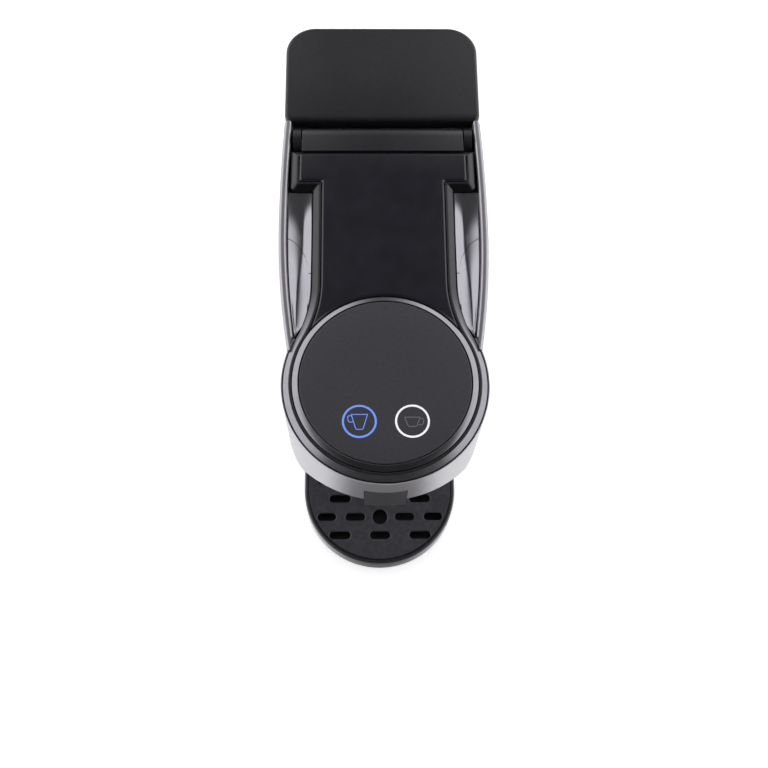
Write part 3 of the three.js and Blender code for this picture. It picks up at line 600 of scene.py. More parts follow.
def turned(x, y, profile, sides=96, closed=False):
    """Profile (radius, height) turned about the upright line through (x, y)."""
    angle = np.linspace(0, 2 * np.pi, sides, endpoint=False)
    radius, height = np.array(profile, float).T
    points = np.stack([
        x + radius[:, None] * np.cos(angle), y + radius[:, None] * np.sin(angle),
        np.broadcast_to(height[:, None], (len(height), sides)),
    ], axis=-1)
    return sheet(points, wrap_rows=closed, wrap_columns=True, caps=not closed)


def plate(outline, low, high, edge=0.4):
    """A plate of that outline with eased edges."""
    return carried(outline, eased(low, high, edge))


def rod(axis, radius, start, stop, a, b, edge=0.3, sides=48):
    """A round bar along an axis, centred on (a, b) of the two other axes in turn."""
    return along(axis, carried(circle(a, b, radius, sides), eased(start, stop, edge)))


print("a plate's profile has", len(eased(0, 1)), "points")

# %% [markdown]
# A shape becomes an object in four steps: its points go into a mesh, doubles merge
# and faces turn outwards, closed shapes are taken out of it, and edges are shaded
# sharp or smooth by their angle. The exact boolean is slower, but it keeps thin walls.


# %% From shape to object
usual_sharp = 32        # an edge that bends more than this many degrees is shaded sharp
sheer = 0.01            # edge size of a cutter, where no easing is wanted


def ease_edges(obj, width):
    """Bevel on the edges that bend more than 38 degrees, with the flat faces kept flat."""
    modifier = obj.modifiers.new("eased_edges", "BEVEL")
    modifier.width = width * mm
    modifier.segments = 2
    modifier.limit_method = "ANGLE"
    modifier.angle_limit = math.radians(38)
    modifier.harden_normals = True


def shade(mesh, sharp):
    """Smooth shading, but for edges that bend more than `sharp` degrees."""
    mesh.shade_smooth()
    mesh.set_sharp_from_angle(angle=math.radians(sharp))


def bare_object(name, shape):
    """Mesh object from a shape in millimetres, with doubles merged and faces outwards."""
    mesh = bpy.data.meshes.new(name)
    mesh.from_pydata(shape[0] * mm, [], shape[1])
    work = bmesh.new()
    work.from_mesh(mesh)
    bmesh.ops.remove_doubles(work, verts=work.verts, dist=0.003 * mm)
    bmesh.ops.recalc_face_normals(work, faces=work.faces)
    work.to_mesh(mesh)
    work.free()
    obj = bpy.data.objects.new(name, mesh)
    bpy.context.scene.collection.objects.link(obj)
    return obj


def cut(obj, *shapes):
    """Takes closed shapes out of an object, and keeps the result as its mesh."""
    for shape in shapes:
        cutter = bare_object("cutter", shape)
        modifier = obj.modifiers.new("cut", "BOOLEAN")
        modifier.object = cutter
        modifier.solver = "EXACT"
        bpy.context.view_layer.update()
        evaluated = obj.evaluated_get(bpy.context.evaluated_depsgraph_get())
        result = bpy.data.meshes.new_from_object(evaluated)
        obj.modifiers.remove(modifier)
        old, obj.data = obj.data, result
        bpy.data.meshes.remove(old)
        bpy.data.objects.remove(cutter)
    return obj


# %% [markdown]
# A piece then gets its finish and the body that it rides on, and the CAD nodes that it
# stands for are hidden. A refined part takes the same steps, but its mesh is the CAD
# node's own, with a small bevel.


# %% Pieces and refined parts
def piece(name, shape, finish_name, body, *stands_for, slot=None, sharp=usual_sharp, holes=()):
    """One finished part: mesh, holes, finish, and the body that it rides on."""
    obj = bare_object(name, shape)
    cut(obj, *holes)
    shade(obj.data, sharp)
    obj.data.materials.clear()
    obj.data.materials.append(finishes[finish_name])
    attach(obj, body)
    if stands_for:
        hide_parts(*stands_for)
    print(f"{name}: {len(obj.data.polygons)} faces on {body}")


def refined(node, finish_name, edge):
    """The CAD part itself, its loose triangles merged and its edges eased."""
    source = nodes[node]
    mesh = bpy.data.meshes.new(node + "_fine")
    work = bmesh.new()
    work.from_mesh(source.data)
    bmesh.ops.remove_doubles(work, verts=work.verts, dist=0.004 * mm)
    bmesh.ops.dissolve_limit(work, angle_limit=math.radians(1.2), verts=work.verts,
                             edges=work.edges)
    work.to_mesh(mesh)
    work.free()
    shade(mesh, usual_sharp)
    obj = bpy.data.objects.new(node + "_fine", mesh)
    bpy.context.scene.collection.objects.link(obj)
    mesh.materials.append(finishes[finish_name])
    ease_edges(obj, edge)
    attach(obj, source["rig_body"])
    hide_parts(node)


print("shape tools ready")

# %% [markdown]
# ## Lever
# From above the lever is a keyhole: a round end, a neck with wide fillets and a
# cross bar at the hinge. Its moulded border has a broad outer chamfer and a groove
# on the inside, so the border is one profile carried around the keyhole. Lofting
# between drawn-in outlines keeps the chamfer's width the same all the way round,
# which scaling would not.


# %% Keyhole outline
bar_half = rim_radius - 1.8
bar_corner = 3.0
bar_rear = hinge_y - 8.5


def fillet_place():
    """Centre of the neck fillet and the angle at which it meets the round end."""
    centre_x = neck_half + neck_fillet
    lean = math.acos(centre_x / (rim_radius + neck_fillet))
    return centre_x, head_y + (rim_radius + neck_fillet) * math.sin(lean), lean


def keyhole(rear):
    """outline(inset) of the lever: round end, neck fillets and cross bar up to `rear`."""
    def outline(inset):
        """The round end, then the right side to the rear, then its mirror image."""
        centre_x, centre_y, lean = fillet_place()
        half, bar, low = neck_half - inset, bar_half - inset, bar_front + inset
        corner = max(bar_corner - inset * 0.35, 0.8)
        inner = 0.5 + inset * 0.2
        right = np.vstack([
            arc(centre_x, centre_y, neck_fillet + inset, np.pi + lean, np.pi, 40),
            arc(half + inner, low - inner, inner, np.pi, np.pi / 2, 6),
            arc(bar - corner, low + corner, corner, -np.pi / 2, 0, 10),
            [[bar, rear - inset]],
        ])
        left = right[::-1] * (-1, 1)
        end = arc(0, head_y, rim_radius - inset, np.pi - lean, 2 * np.pi + lean, 150)
        return np.vstack([end[1:-1], right, left])
    return outline


print("the lever's outline has", len(keyhole(bar_rear)(0)), "points")

# %% [markdown]
# Under the border hang the parts that make it a lever: a barrel about the hinge and
# two crank arms, whose pins push the brewing cage. They are plates and rods on their
# sides, joined to the border as one moulding.


# %% Border, barrel and cranks
def rim_profile():
    """Section of the border: wall, wide outer chamfer, round inner lip, recess floor."""
    low, high = frame_top - lever_height, frame_top
    lip = arc(lever_border - 0.5, high - 0.5, 0.5, np.pi / 2, 0, 5)
    return np.vstack([
        [(2.5, low + 2.8), (2.5, low), (0.4, low), (0.0, low + 0.4), (0.0, high - 2.5)],
        [(0.08, high - 2.25), (0.35, high - 2.05), (1.5, high - 1.14), (2.75, high - 0.25)],
        [(3.2, high - 0.05)], lip, [(lever_border, high - 2.5)],
    ])


def crank(side, offset=24.5, wall=2.6, half_arm=5.0, pin_radius=2.0, pin_end=18.5):
    """One crank arm under the hinge, with the pin that moves the brewing cage."""
    pin_z = lever_low[2] + half_arm
    x = side * offset
    arm = rounded_box(hinge_y - half_arm, hinge_y + half_arm, pin_z - half_arm, hinge_z + half_arm,
                      half_arm - 0.1, steps=12)
    pin = sorted((x, side * pin_end))
    return together(
        along("x", plate(arm, x - wall / 2, x + wall / 2, 0.3)),
        rod("x", pin_radius, pin[0], pin[1], hinge_y, pin_z),
    )


def web_outline(inset):
    """Side view of the hinge barrel: a circle with a flat bridge to the cross bar."""
    front = bar_rear - 0.6 + inset
    round_part = arc(hinge_y, hinge_z, 7.5 - inset, -np.pi * 0.75, np.pi / 2, 30)
    return np.vstack([round_part, [(front, frame_top - inset), (front, hinge_z + inset)]])


lever_shape = together(
    carried(keyhole(bar_rear), rim_profile()), crank(-1), crank(1),
    along("x", plate(web_outline, -bar_half + 5.5, bar_half - 5.5, 0.4)),
)
piece("lever_border", lever_shape, "black_plastic", "lever", "lever_frame", sharp=28)

# %% [markdown]
# The chamfer has a brighter finish than the rest of the border. It could be a second
# material on the same mesh; it is a thin trim of its own instead, laid a hair above
# the chamfer, because each exported piece has one finish.

# %% Trim on the chamfer
trim_top = frame_top + 0.03
trim_profile = [(0.45, trim_top - 2.8), (-0.03, trim_top - 2.6), (0.05, trim_top - 2.25),
                (0.33, trim_top - 2.05), (1.5, trim_top - 1.14), (2.75, trim_top - 0.25),
                (2.9, trim_top - 0.7)]
piece("lever_edge", carried(keyhole(bar_rear - 0.2), trim_profile, closed=True), "lever_trim",
      "lever", slot="dark_chrome", sharp=28)

# %% [markdown]
# The inlay is the smooth plate in the neck. Its front edge is a hollow curve that
# follows the ring around the disc, so its two front corners are thin tips where
# that circle meets the fillet. A boolean with a cylinder would leave ragged tips, so
# they are worked out as the place where the two circles cross.


# %% Inlay
def inlay_outline(inset):
    """Neck part of the keyhole, cut by a circle around the disc; sides drawn in by inset."""
    side_inset = lever_border + gap + inset
    centre_x, centre_y, _ = fillet_place()
    hollow = box("disc_bezel")[1][0] + gap + inset
    radius = neck_fillet + side_inset
    span = math.hypot(centre_x, centre_y - head_y)
    reach = (span ** 2 + hollow ** 2 - radius ** 2) / (2 * span)
    half_chord = math.sqrt(max(hollow ** 2 - reach ** 2, 0.01))
    unit = np.array([centre_x, centre_y - head_y]) / span
    tip = np.array([0, head_y]) + unit * reach + np.array([-unit[1], unit[0]]) * half_chord
    start = math.atan2(tip[1] - centre_y, tip[0] - centre_x) % (2 * np.pi)
    edge = math.atan2(tip[1] - head_y, tip[0])
    half, bar = neck_half - side_inset, bar_half - side_inset
    low, rear = bar_front + side_inset, bar_rear - 2.5 - gap - inset
    corner, inner = 1.5, 1.3        # radii where the neck meets the bar
    right = np.vstack([
        arc(centre_x, centre_y, radius, start, np.pi, 40),
        arc(half + inner, low - inner, inner, np.pi, np.pi / 2, 6),
        arc(bar - corner, low + corner, corner, -np.pi / 2, 0, 8),
        [[bar, rear]],
    ])
    hollow_edge = arc(0, head_y, hollow, np.pi - edge, edge, 60)
    return np.vstack([hollow_edge[1:-1], right, (right * (-1, 1))[::-1]])


inlay_bottom, inlay_top = (corner[2] for corner in box("lever_inlay"))
inlay_profile = [(0.0, inlay_bottom), (0.0, inlay_top - 0.95), (0.1, inlay_top - 0.75),
                 (0.75, inlay_top - 0.12), (0.95, inlay_top - 0.02), (1.15, inlay_top)]
piece("lever_plate", carried(inlay_outline, inlay_profile), "plate_black", "lever", "lever_inlay",
      slot="gloss_black", sharp=24)

# %% [markdown]
# ## Touch disc
# A bright ring with a slight outward slope holds a fine-grained disc. Both are
# turned parts, so both are a profile swept around the disc's axis. A cylinder with
# a bevel would give the disc, but not the ring's slope and its thin inner lip.

# %% Ring and disc
ring_out = box("disc_bezel")[1][0]
ring_in = disc_radius + gap
ring_bottom, ring_top = (corner[2] for corner in box("disc_bezel"))
disc_sides = 160
ring_profile = [
    (ring_out, ring_bottom), (ring_out, ring_top - 1.35), (ring_out - 0.15, ring_top - 1.1),
    (ring_out - 0.4, ring_top - 0.95), (disc_radius + 0.95, ring_top - 0.1),
    (disc_radius + 0.7, ring_top), (disc_radius + 0.45, ring_top - 0.05),
    (ring_in, ring_top - 0.3), (ring_in, ring_bottom),
]
piece("disc_ring", turned(0, head_y, ring_profile, disc_sides, closed=True), "dark_chrome", "lever",
      "disc_bezel", sharp=24)

disc_edge = 0.6
edge_arc = arc(disc_radius - disc_edge, top - disc_edge, disc_edge, 0, np.pi / 2, 6)
disc_profile = np.vstack([
    [(disc_radius, disc_bottom)], edge_arc, [(disc_radius * 0.6, top), (0.01, top)],
])
piece("touch_pad", turned(0, head_y, disc_profile, disc_sides), "charcoal_disc", "lever",
      "touch_disc", sharp=24)

# %% [markdown]
# Two rings of light and two cup signs are let into the disc. The rings are turned as
# well. A curve with a bevel could draw the signs, but they need a flat top and square
# sides, so each is a ribbon of constant width that follows a short path.


# %% Rings of light and cup signs
sign_stroke, sign_sunk, sign_proud = 0.42, 0.1, 0.02


def ribbon(path, width, low, high, closed=False):
    """A stroke of that width: each point is moved to both sides, square to its mean direction."""
    path = np.array(path, float)
    before, after = np.roll(path, 1, axis=0), np.roll(path, -1, axis=0)
    if not closed:
        before[0], after[-1] = path[0] * 2 - path[1], path[-1] * 2 - path[-2]
    first, second = path - before, after - path
    first /= np.linalg.norm(first, axis=1)[:, None]
    second /= np.linalg.norm(second, axis=1)[:, None]
    mean = first + second
    mean /= np.linalg.norm(mean, axis=1)[:, None]
    side = np.stack([mean[:, 1], -mean[:, 0]], axis=1)
    square = np.abs((mean * second).sum(axis=1))[:, None].clip(0.5)
    right, left = path + side * width / 2 / square, path - side * width / 2 / square
    rings = [(right, low), (right, high), (left, high), (left, low)]
    section = np.stack([np.column_stack([p, np.full(len(p), z)]) for p, z in rings], axis=1)
    return sheet(section, wrap_rows=closed, wrap_columns=True, caps=not closed)


def cup_sign(x, y, upper, lower, top_half, bottom_half, handle):
    """A cup: tapered bowl with round lower corners, and a handle on the side given."""
    corner, rim = 0.55, y + upper
    bowl = [(x - top_half, rim), (x - bottom_half - 0.1, y - lower + corner),
            (x - bottom_half + corner * 0.8, y - lower), (x + bottom_half - corner * 0.8, y - lower),
            (x + bottom_half + 0.1, y - lower + corner), (x + top_half, rim)]
    reach = handle * (top_half + 1.75)
    ear = [(x + handle * (top_half - 0.25), rim - 0.6), (x + reach - handle * 0.5, rim - 0.7),
           (x + reach, rim - 1.3), (x + reach - handle * 0.35, rim - 3.3),
           (x + reach - handle * 1.1, rim - 3.9), (x + handle * (top_half - 0.95), rim - 3.75)]
    low, high = top - sign_sunk, top + sign_proud
    return together(ribbon(bowl, sign_stroke, low, high, closed=True),
                    ribbon(ear, sign_stroke, low, high))


def light_ring(node):
    """A flat ring 1.1 wide with eased edges, just flush with the disc."""
    x, y, radius, bottom, _ = round_place(node)
    inner, ease = radius - 1.1, 0.12
    section = [(inner, bottom), (inner, top - 0.02), (inner + ease, top + 0.02),
               (radius - ease, top + 0.02), (radius, top - 0.02), (radius, bottom)]
    return x, y, turned(x, y, section, closed=True)


blue_x, lamp_y, blue_ring = light_ring("lamp_ring_large_cup")
white_x, _, white_ring = light_ring("lamp_ring_small_cup")
piece("light_ring_blue", blue_ring, "lamp_blue", "lever", "lamp_ring_large_cup")
piece("light_ring_white", white_ring, "lamp_white", "lever", "lamp_ring_small_cup")
piece("cup_sign_large", cup_sign(blue_x, lamp_y, 3.5, 4.0, 3.9, 1.75, -1), "lamp_blue", "lever")
piece("cup_sign_small", cup_sign(white_x, lamp_y, 2.0, 2.7, 3.7, 2.1, 1), "cup_sign_grey", "lever",
      slot="lamp_white")
tick = [(-0.3, head_y + 38.9), (0.6, head_y + 38.0), (1.9, head_y + 39.3)]
piece("disc_mark", ribbon(tick, 0.3, top - sign_sunk, top + 0.015), "black_plastic", "lever")

# %% [markdown]
# ## Head
# The head is a cup: a round wall, and a chin that sweeps down and back to the neck.
# Seen from above its region is a circle cut by a straight seam at the rear, and any
# ray from the head's centre crosses it once. So the whole cup is one grid of rays:
# out along the underside, up the wall, over the rim, down the inside and back in.


# %% Chin curve
def bend(a, b, c, steps=24):
    """Quadratic curve (1-t)^2 a + 2t(1-t) b + t^2 c."""
    t = np.linspace(0, 1, steps)[:, None]
    a, b, c = np.array(a, float), np.array(b, float), np.array(c, float)
    return (1 - t) ** 2 * a + 2 * t * (1 - t) * b + t ** 2 * c


chin_front = top - 36.0
chin_turn = (machine_front + 22, neck_bottom + 4)
chin_path = np.vstack([
    bend((machine_front, chin_front), (machine_front + 12.5, chin_front - 6), chin_turn),
    bend(chin_turn, (machine_front + 25, neck_bottom), (machine_front + 31, neck_bottom)),
])
print("the chin drops", round(chin_front - neck_bottom, 1), "to the neck")

# %% [markdown]
# The section of the cup is written once, as stations along a ray. Each ray only
# differs in how far it reaches and in how low the chin is under it, so the whole
# head comes from arrays of rays by stations.


# %% Head shell
head_rear = shell_high[1] - head_y
wall_top = shell_high[2]
seat_bottom = frame_top - lever_height - 0.5
head_wall, rim_width = 2.5, 0.6
rim_inset = [0.15, 0.35, 0.55, rim_width, rim_width]
rim_rise = [0.24, 0.28, 0.10, -0.40, 0.0]


def head_shape(front_rays=141, rear_rays=40, fillet=2.4, fillet_steps=7, wall_steps=10):
    """Rays theta, stations along each: radius and height of the cup's section.

    The stations run out along the underside, round the lower fillet, up the wall, over
    the rim, down to the lever's seat and the floor, and back in. The rear rays end at
    the seam, which has no wall, so their wall stations fall together on its lower edge.
    """
    open_angle = math.acos(-head_rear / head_radius)
    front = np.linspace(-open_angle, open_angle, front_rays)
    back = np.linspace(open_angle, 2 * np.pi - open_angle, rear_rays + 2)[1:-1]
    theta = np.concatenate([front, front[-1:], back, front[:1]])
    walled = np.concatenate([np.ones(len(front)), np.zeros(len(back) + 2)])[:, None]
    limit = np.where(np.cos(theta) < 0, head_rear / np.maximum(-np.cos(theta), 1e-6), head_radius)
    reach = np.minimum(limit, head_radius)[:, None]
    t = np.linspace(0, np.pi / 2, fillet_steps)
    above = np.zeros(wall_steps + len(rim_rise))
    under = np.linspace(0.01, 0.97, 34) * (head_radius - fillet) / head_radius
    inset = np.concatenate([fillet * (1 - np.sin(t)), np.zeros(wall_steps), rim_inset])
    share = np.concatenate([0 * t, np.linspace(0.1, 1, wall_steps), np.ones(len(rim_rise))])
    lift = np.concatenate([fillet * (1 - np.cos(t)), above])
    rim = np.concatenate([np.zeros(fillet_steps + wall_steps), rim_rise])

    def height(radius):
        """Chin height under a point at that radius on each ray."""
        return np.interp(head_y - radius * np.cos(theta)[:, None], chin_path[:, 0], chin_path[:, 1])

    low_edge = height(reach) + fillet
    crest = np.where(walled > 0, wall_top - 0.3, low_edge)
    under_radius = under * reach
    wall_radius = reach - inset
    wall_height = np.where(share > 0, low_edge + (crest - low_edge) * share,
                           height(wall_radius) + lift) + rim * walled
    seat = np.where(walled > 0, seat_bottom, low_edge)
    floor_edge = np.where(walled > 0, height(reach - head_wall) + head_wall, low_edge)
    seat_radius = np.concatenate([reach - rim_width] + [reach - head_wall] * 3, axis=1)
    seat_height = np.concatenate([seat, seat, (seat + floor_edge) / 2, floor_edge], axis=1)
    floor_radius = (under * (reach - head_wall))[:, ::-1]
    floor_height = height(floor_radius) + head_wall
    radius = np.concatenate([under_radius, wall_radius, seat_radius, floor_radius], axis=1)
    z = np.concatenate([height(under_radius), wall_height, seat_height, floor_height], axis=1)
    x = radius * np.sin(theta)[:, None]
    y = head_y - radius * np.cos(theta)[:, None]
    return sheet(np.stack([x, y, z], axis=-1), wrap_rows=True)


# %% [markdown]
# The spout sits in a slot in the front of the head. The slot is the spout's own box
# with a gap around it, taken out of the cup by a boolean.


# %% Head with the spout's slot
spout_low, spout_high = box("spout")
spout_half, spout_rear, plate_top = spout_high
spout_bottom = spout_low[2]
slot_half = spout_half + gap
slot_plan = rounded_box(-slot_half, slot_half, machine_front - 3, spout_rear + gap, 0.3)
slot_box = plate(slot_plan, spout_bottom - 20, plate_top + gap, sheer)
piece("head_wall", head_shape(), "silver_lacquer", "housing", "head_shell", holes=[slot_box], sharp=30)

# %% [markdown]
# ## Spout
# A satin plate let into the front of the head. It follows the round wall, then runs
# back under the chin as a tongue with the outlet in it. Cutting it from a cylinder
# would need three booleans. Its side view is one closed loop instead; carrying that
# loop across the width and holding it behind the round wall gives the curved front
# for nothing. The nozzle is a turned ring of its own under the outlet.


# %% Spout
def spout_shape(columns=17):
    """Side loop (y, z) for each x; y is kept behind the head's wall at that x."""
    wall = 2.4
    front, chin, low = machine_front, chin_front, spout_bottom
    loop = np.vstack([
        [(front, plate_top), (front, (plate_top + chin) / 2), (front, chin - 7)],
        bend((front, chin - 9), (front + 3, chin - 15), (front + 14, chin - 20), 14),
        bend((front + 17, chin - 22), (front + 24, low), (front + 33, low), 14),
        [(spout_rear - 3, low)],
        arc(spout_rear - 2, low + 2, 2, -np.pi / 2, 0, 5),
        [(spout_rear, neck_bottom - 0.5), (spout_rear - 1.5, neck_bottom - 0.5)],
        bend((spout_rear - 8, low + wall), (front + 26, low + wall), (front + 18, chin - 19), 12),
        bend((front + 14, chin - 16), (front + 4, chin - 9), (front + wall + 0.4, chin), 10),
        [(front + wall + 0.4, plate_top - 0.2), (front + wall, plate_top)],
    ])
    share = np.sin(np.linspace(-np.pi / 2, np.pi / 2, columns))
    x = share * spout_half
    wall_y = head_y - np.sqrt((head_radius - 0.25) ** 2 - x ** 2)
    y = np.maximum(loop[:, 0][None, :], wall_y[:, None])
    x, z = np.broadcast_to(x[:, None], y.shape), np.broadcast_to(loop[:, 1], y.shape)
    return sheet(np.stack([x, y, z], axis=-1), wrap_columns=True, caps=True)


outlet_y, outlet_radius = head_y - 12.0, 3.1
nozzle_profile = [(outlet_radius, spout_bottom + 3), (outlet_radius, spout_bottom - 0.9),
                  (3.4, spout_bottom - 1.2), (4.4, spout_bottom - 1.2),
                  (4.9, spout_bottom - 0.7), (5.2, spout_bottom + 3)]
piece("spout_nozzle", turned(0, outlet_y, nozzle_profile, 64, closed=True), "spout_satin",
      "housing", slot="grid_satin", sharp=30)
outlet = rod("z", outlet_radius, spout_bottom - 6, spout_bottom + 6, 0, outlet_y, sheer)
piece("spout_plate", spout_shape(), "spout_satin", "housing", "spout", slot="grid_satin",
      sharp=30, holes=[outlet])

# %% [markdown]
# ## Side skins
# Two thin lacquered covers bow outwards along the machine and follow the neck's
# underside and the front of the column. In side view the cover lies between two
# paths, one along its inner edge and one along its top and rear. Straight lines
# between matching points of the two fill it, and the bow gives each point its place
# sideways. A bevel modifier can't reach far on such narrow quads, so the long edges
# are rounded in the shape itself: the wall thins towards them along a circle.


# %% Bow of the body
def bow(y):
    """Half width: body_half less the sagitta of a circle whose top is at bow_y."""
    away = np.asarray(y) - bow_y
    radius = np.where(away < 0, bow_front, bow_rear)
    return body_half - (radius - np.sqrt(radius ** 2 - away ** 2))


def resampled(path, count):
    """The path at `count` places, evenly spaced by length."""
    path = np.array(path, float)
    length = np.concatenate([[0], np.cumsum(np.linalg.norm(np.diff(path, axis=0), axis=1))])
    at = np.linspace(0, length[-1], count)
    return np.stack([np.interp(at, length, path[:, i]) for i in (0, 1)], axis=1)


def round_off(distance, radius):
    """Inset of a round edge at that distance in from it: r - sqrt(r^2 - (r - d)^2)."""
    short = np.clip(radius - distance, 0, radius)
    return radius - np.sqrt(radius ** 2 - short ** 2)


print("half width", round(float(bow(bow_y)), 1), "at the widest,", round(float(bow(head_y)), 1),
      "at the head")

# %% [markdown]
# The front of a skin reaches over the head's rear, so its inner side is also kept
# outside the head's circle. The result is a sheet with a back: two grids of points,
# joined all the way round, which keeps both sides smooth and the shape closed.


# %% Skins
def head_half(y, clearance):
    """Half width of the head at y, with a clearance round it: sqrt(r^2 - (y - head_y)^2)."""
    return np.sqrt(np.maximum((head_radius + clearance) ** 2 - (y - head_y) ** 2, 0))


def two_layers(face, back):
    """Closed shape from two grids that face away from each other, joined all the way round."""
    rows, columns = face.shape[:2]
    points, faces = sheet(np.concatenate([face, back[:, ::-1]], axis=1), wrap_columns=True)
    for first in (0, (rows - 1) * columns * 2):
        last = first + 2 * columns - 1
        faces += [[first + i, first + i + 1, last - 1 - i, last - i] for i in range(columns - 1)]
    return points, faces


def skin_shape(side, crown=1.7, lip=0.8, neck_corner=14, neck_rows=14, top_rows=20, front_rows=40):
    """Side view from inner path to outer path, bowed; the wall thins along a round crown."""
    (_, start, low), (_, rear, high) = box("side_skin_right")
    corner = arc(column_front - neck_corner, neck_bottom - neck_corner, neck_corner, np.pi / 2, 0, 13)
    inner = np.vstack([
        resampled([(start, neck_bottom), tuple(corner[0])], neck_rows)[:-1], corner,
        resampled([tuple(corner[-1]), (column_front, low)], front_rows)[1:],
    ])
    outer = np.vstack([
        resampled([(start, high), (rear, high)], top_rows)[:-1],
        resampled([(rear, high), (rear, low)], len(inner) - top_rows + 1),
    ])
    near = np.array([0, 0.06, 0.16, 0.32, 0.55, 0.85, 1.2, 1.6, 2.0, 2.5])    # from an edge
    middle = np.broadcast_to([0.25, 0.5, 0.75], (len(inner), 3))
    reach = np.linalg.norm(outer - inner, axis=1)[:, None]
    t = np.concatenate([near * 0.4 / reach, middle, 1 - near[::-1] / reach], axis=1)[..., None]
    flat = inner[:, None] * (1 - t) + outer[:, None] * t
    y, z = flat[..., 0], flat[..., 1]
    edge_way = np.minimum(np.minimum(high - z, rear - y), z - low)
    thin = np.maximum(round_off(edge_way, crown), round_off(t[..., 0] * reach, lip))
    outside = bow(y) - thin
    inside = np.maximum(bow(y) - skin_wall + thin, head_half(y, gap))
    inside = np.minimum(inside, outside - 0.1)
    return two_layers(*(np.stack([side * x, y, z], axis=-1) for x in (outside, inside)))


for side, word in ((-1, "left"), (1, "right")):
    piece(f"skin_{word}", skin_shape(side), "silver_lacquer", "housing", f"side_skin_{word}",
          sharp=50)

# %% [markdown]
# ## Shoulders
# Between the skins and the lever lie glossy channels, dark where they show the dark
# room and bright where they show its sides. A box with bevels has no such hollow, so
# each is a sheet of two values: u runs from the skin to the lever and v to the rear.
# Its height is a shallow valley between two lips, and it sinks towards the head. A
# curved seam parts the front shoulder from the rail behind it: the same sheet is
# used for both, with other limits for v.


# %% Channel's sides, seam and height
deck_low, deck_high = box("deck_right")
shoulder_front = box("shoulder_right")[0][1]
seam_x, seam_y = float(bow(bow_y)) - 2.5, head_y + 60.0
seam_half_x, seam_half_y, seam_gap = 13.0, 20.0, 0.42
lip_radius = 0.45
sway_start, sway_length = 38.0, 42.0        # places behind the head's centre
hollow_end, hollow_fade = 112.0, 30.0
sink_end, sink_length = 60.0, 45.0
hollow_depth, sink_depth = 2.3, 1.4


def lever_side(y):
    """Half width of the lever at y: round end, then fillet, then straight neck."""
    centre_x, centre_y, lean = fillet_place()
    meet = head_y + rim_radius * math.sin(lean)
    round_end = np.sqrt(np.maximum(rim_radius ** 2 - (y - head_y) ** 2, 0))
    fillet = centre_x - np.sqrt(np.maximum(neck_fillet ** 2 - (y - centre_y) ** 2, 0))
    return np.where(y < meet, round_end, np.where(y < centre_y, fillet, neck_half))


def seam(x):
    """Ellipse about (seam_x, seam_y): y on its rear side, seam_y + b sqrt(1 - (dx / a)^2)."""
    share = np.clip(np.abs(x - seam_x) / seam_half_x, 0, 1)
    return seam_y + seam_half_y * np.sqrt(1 - share ** 2)


def smooth(value):
    """3 t^2 - 2 t^3 with t held between 0 and 1."""
    value = np.clip(value, 0, 1)
    return value * value * (3 - 2 * value)


def channel_height(u, y, wide):
    """Deck top - depth * (1 - |distance from the valley line|^1.35) - slope down to the head.

    The line sways towards the lever as it runs back, where the valley also gets shallower.
    """
    behind = y - head_y
    line = 0.30 + 0.30 * smooth((behind - sway_start) / sway_length)
    depth = np.minimum(hollow_depth * smooth((hollow_end - behind) / hollow_fade) + 0.12, 0.20 * wide)
    fall = 1 - np.abs(np.where(u < line, 1 - u / line, (u - line) / (1 - line))) ** 1.35
    sink = sink_depth * smooth((sink_end - behind) / sink_length)
    return deck_high[2] - 0.5 - depth * fall - sink


print("seam from y", round(float(seam(seam_x - seam_half_x)), 1), "to", round(float(seam(seam_x)), 1))

# %% [markdown]
# Where a point of the sheet lies depends on how wide the channel is there, and the
# width depends on where the point lies. Working each out from the other a few times
# settles both, which is simpler than cutting the sheet with a curved knife.


# %% Shoulders and rails
def channel_shape(side, start, front, rear, rounds, rows=60, columns=34):
    """Closed sheet from y = front(x) to y = rear(x), with round lips and a flat underside.

    Its sides depend on y and its ends on x, so x and y are worked out in turns, beginning
    with rows spread evenly behind `start`, until they agree.
    """
    u = (0.5 - 0.5 * np.cos(np.linspace(0, np.pi, columns)))[None, :]
    v = np.linspace(0, 1, rows)[:, None]
    y = start + (deck_high[1] - start) * v
    for _ in range(rounds):
        inner = np.maximum(lever_side(y) + 0.5, head_half(y, 0.5))
        outer = np.maximum(bow(y) - skin_wall - gap, inner + 0.05)
        x = outer * (1 - u) + inner * u
        y = front(x) + (rear(x) - front(x)) * v
    z = channel_height(u, y, outer - inner)
    z = z - round_off(np.minimum(u, 1 - u) * (outer - inner), lip_radius)
    lid = np.stack([side * x, y, z], axis=-1)
    base = lid.copy()
    base[..., 2] = deck_low[2]
    return two_layers(lid, base)


for side, word in ((-1, "left"), (1, "right")):
    shoulder = channel_shape(side, shoulder_front, lambda x: shoulder_front, seam, rounds=6)
    rail = channel_shape(side, seam_y, lambda x: seam(x) + seam_gap, lambda x: deck_high[1], rounds=8)
    piece(f"channel_{word}", shoulder, "shoulder_gloss", "housing", f"shoulder_{word}",
          slot="gloss_black", sharp=40)
    piece(f"rail_{word}", rail, "shoulder_gloss", "housing", f"deck_{word}",
          slot="gloss_black", sharp=40)

# %% [markdown]
# ## Drip tray
# The tray is a half round with straight sides: a black moulding with a bright skirt
# around it. Both follow the same outline, so both are a section carried around it,
# and the skirt stays the same distance out all the way round.

# %% Tray
tray_low, tray_high = box("drip_tray")
tray_radius = tray_high[0]
tray_y = tray_low[1] + tray_radius
tray_back = column_front - gap
grid_seat, pan_floor = 15.5, 8.5


def tray_outline(inset):
    """Half circle at the front and straight sides back to the column."""
    radius = tray_radius - inset
    front = arc(0, tray_y, radius, np.pi, 2 * np.pi, 90)
    corner = max(1.2 - inset * 0.2, 0.3)
    rear = tray_back - inset
    right = arc(radius - corner, rear - corner, corner, 0, np.pi / 2, 5)
    return np.vstack([front, right, (right * (-1, 1))[::-1]])


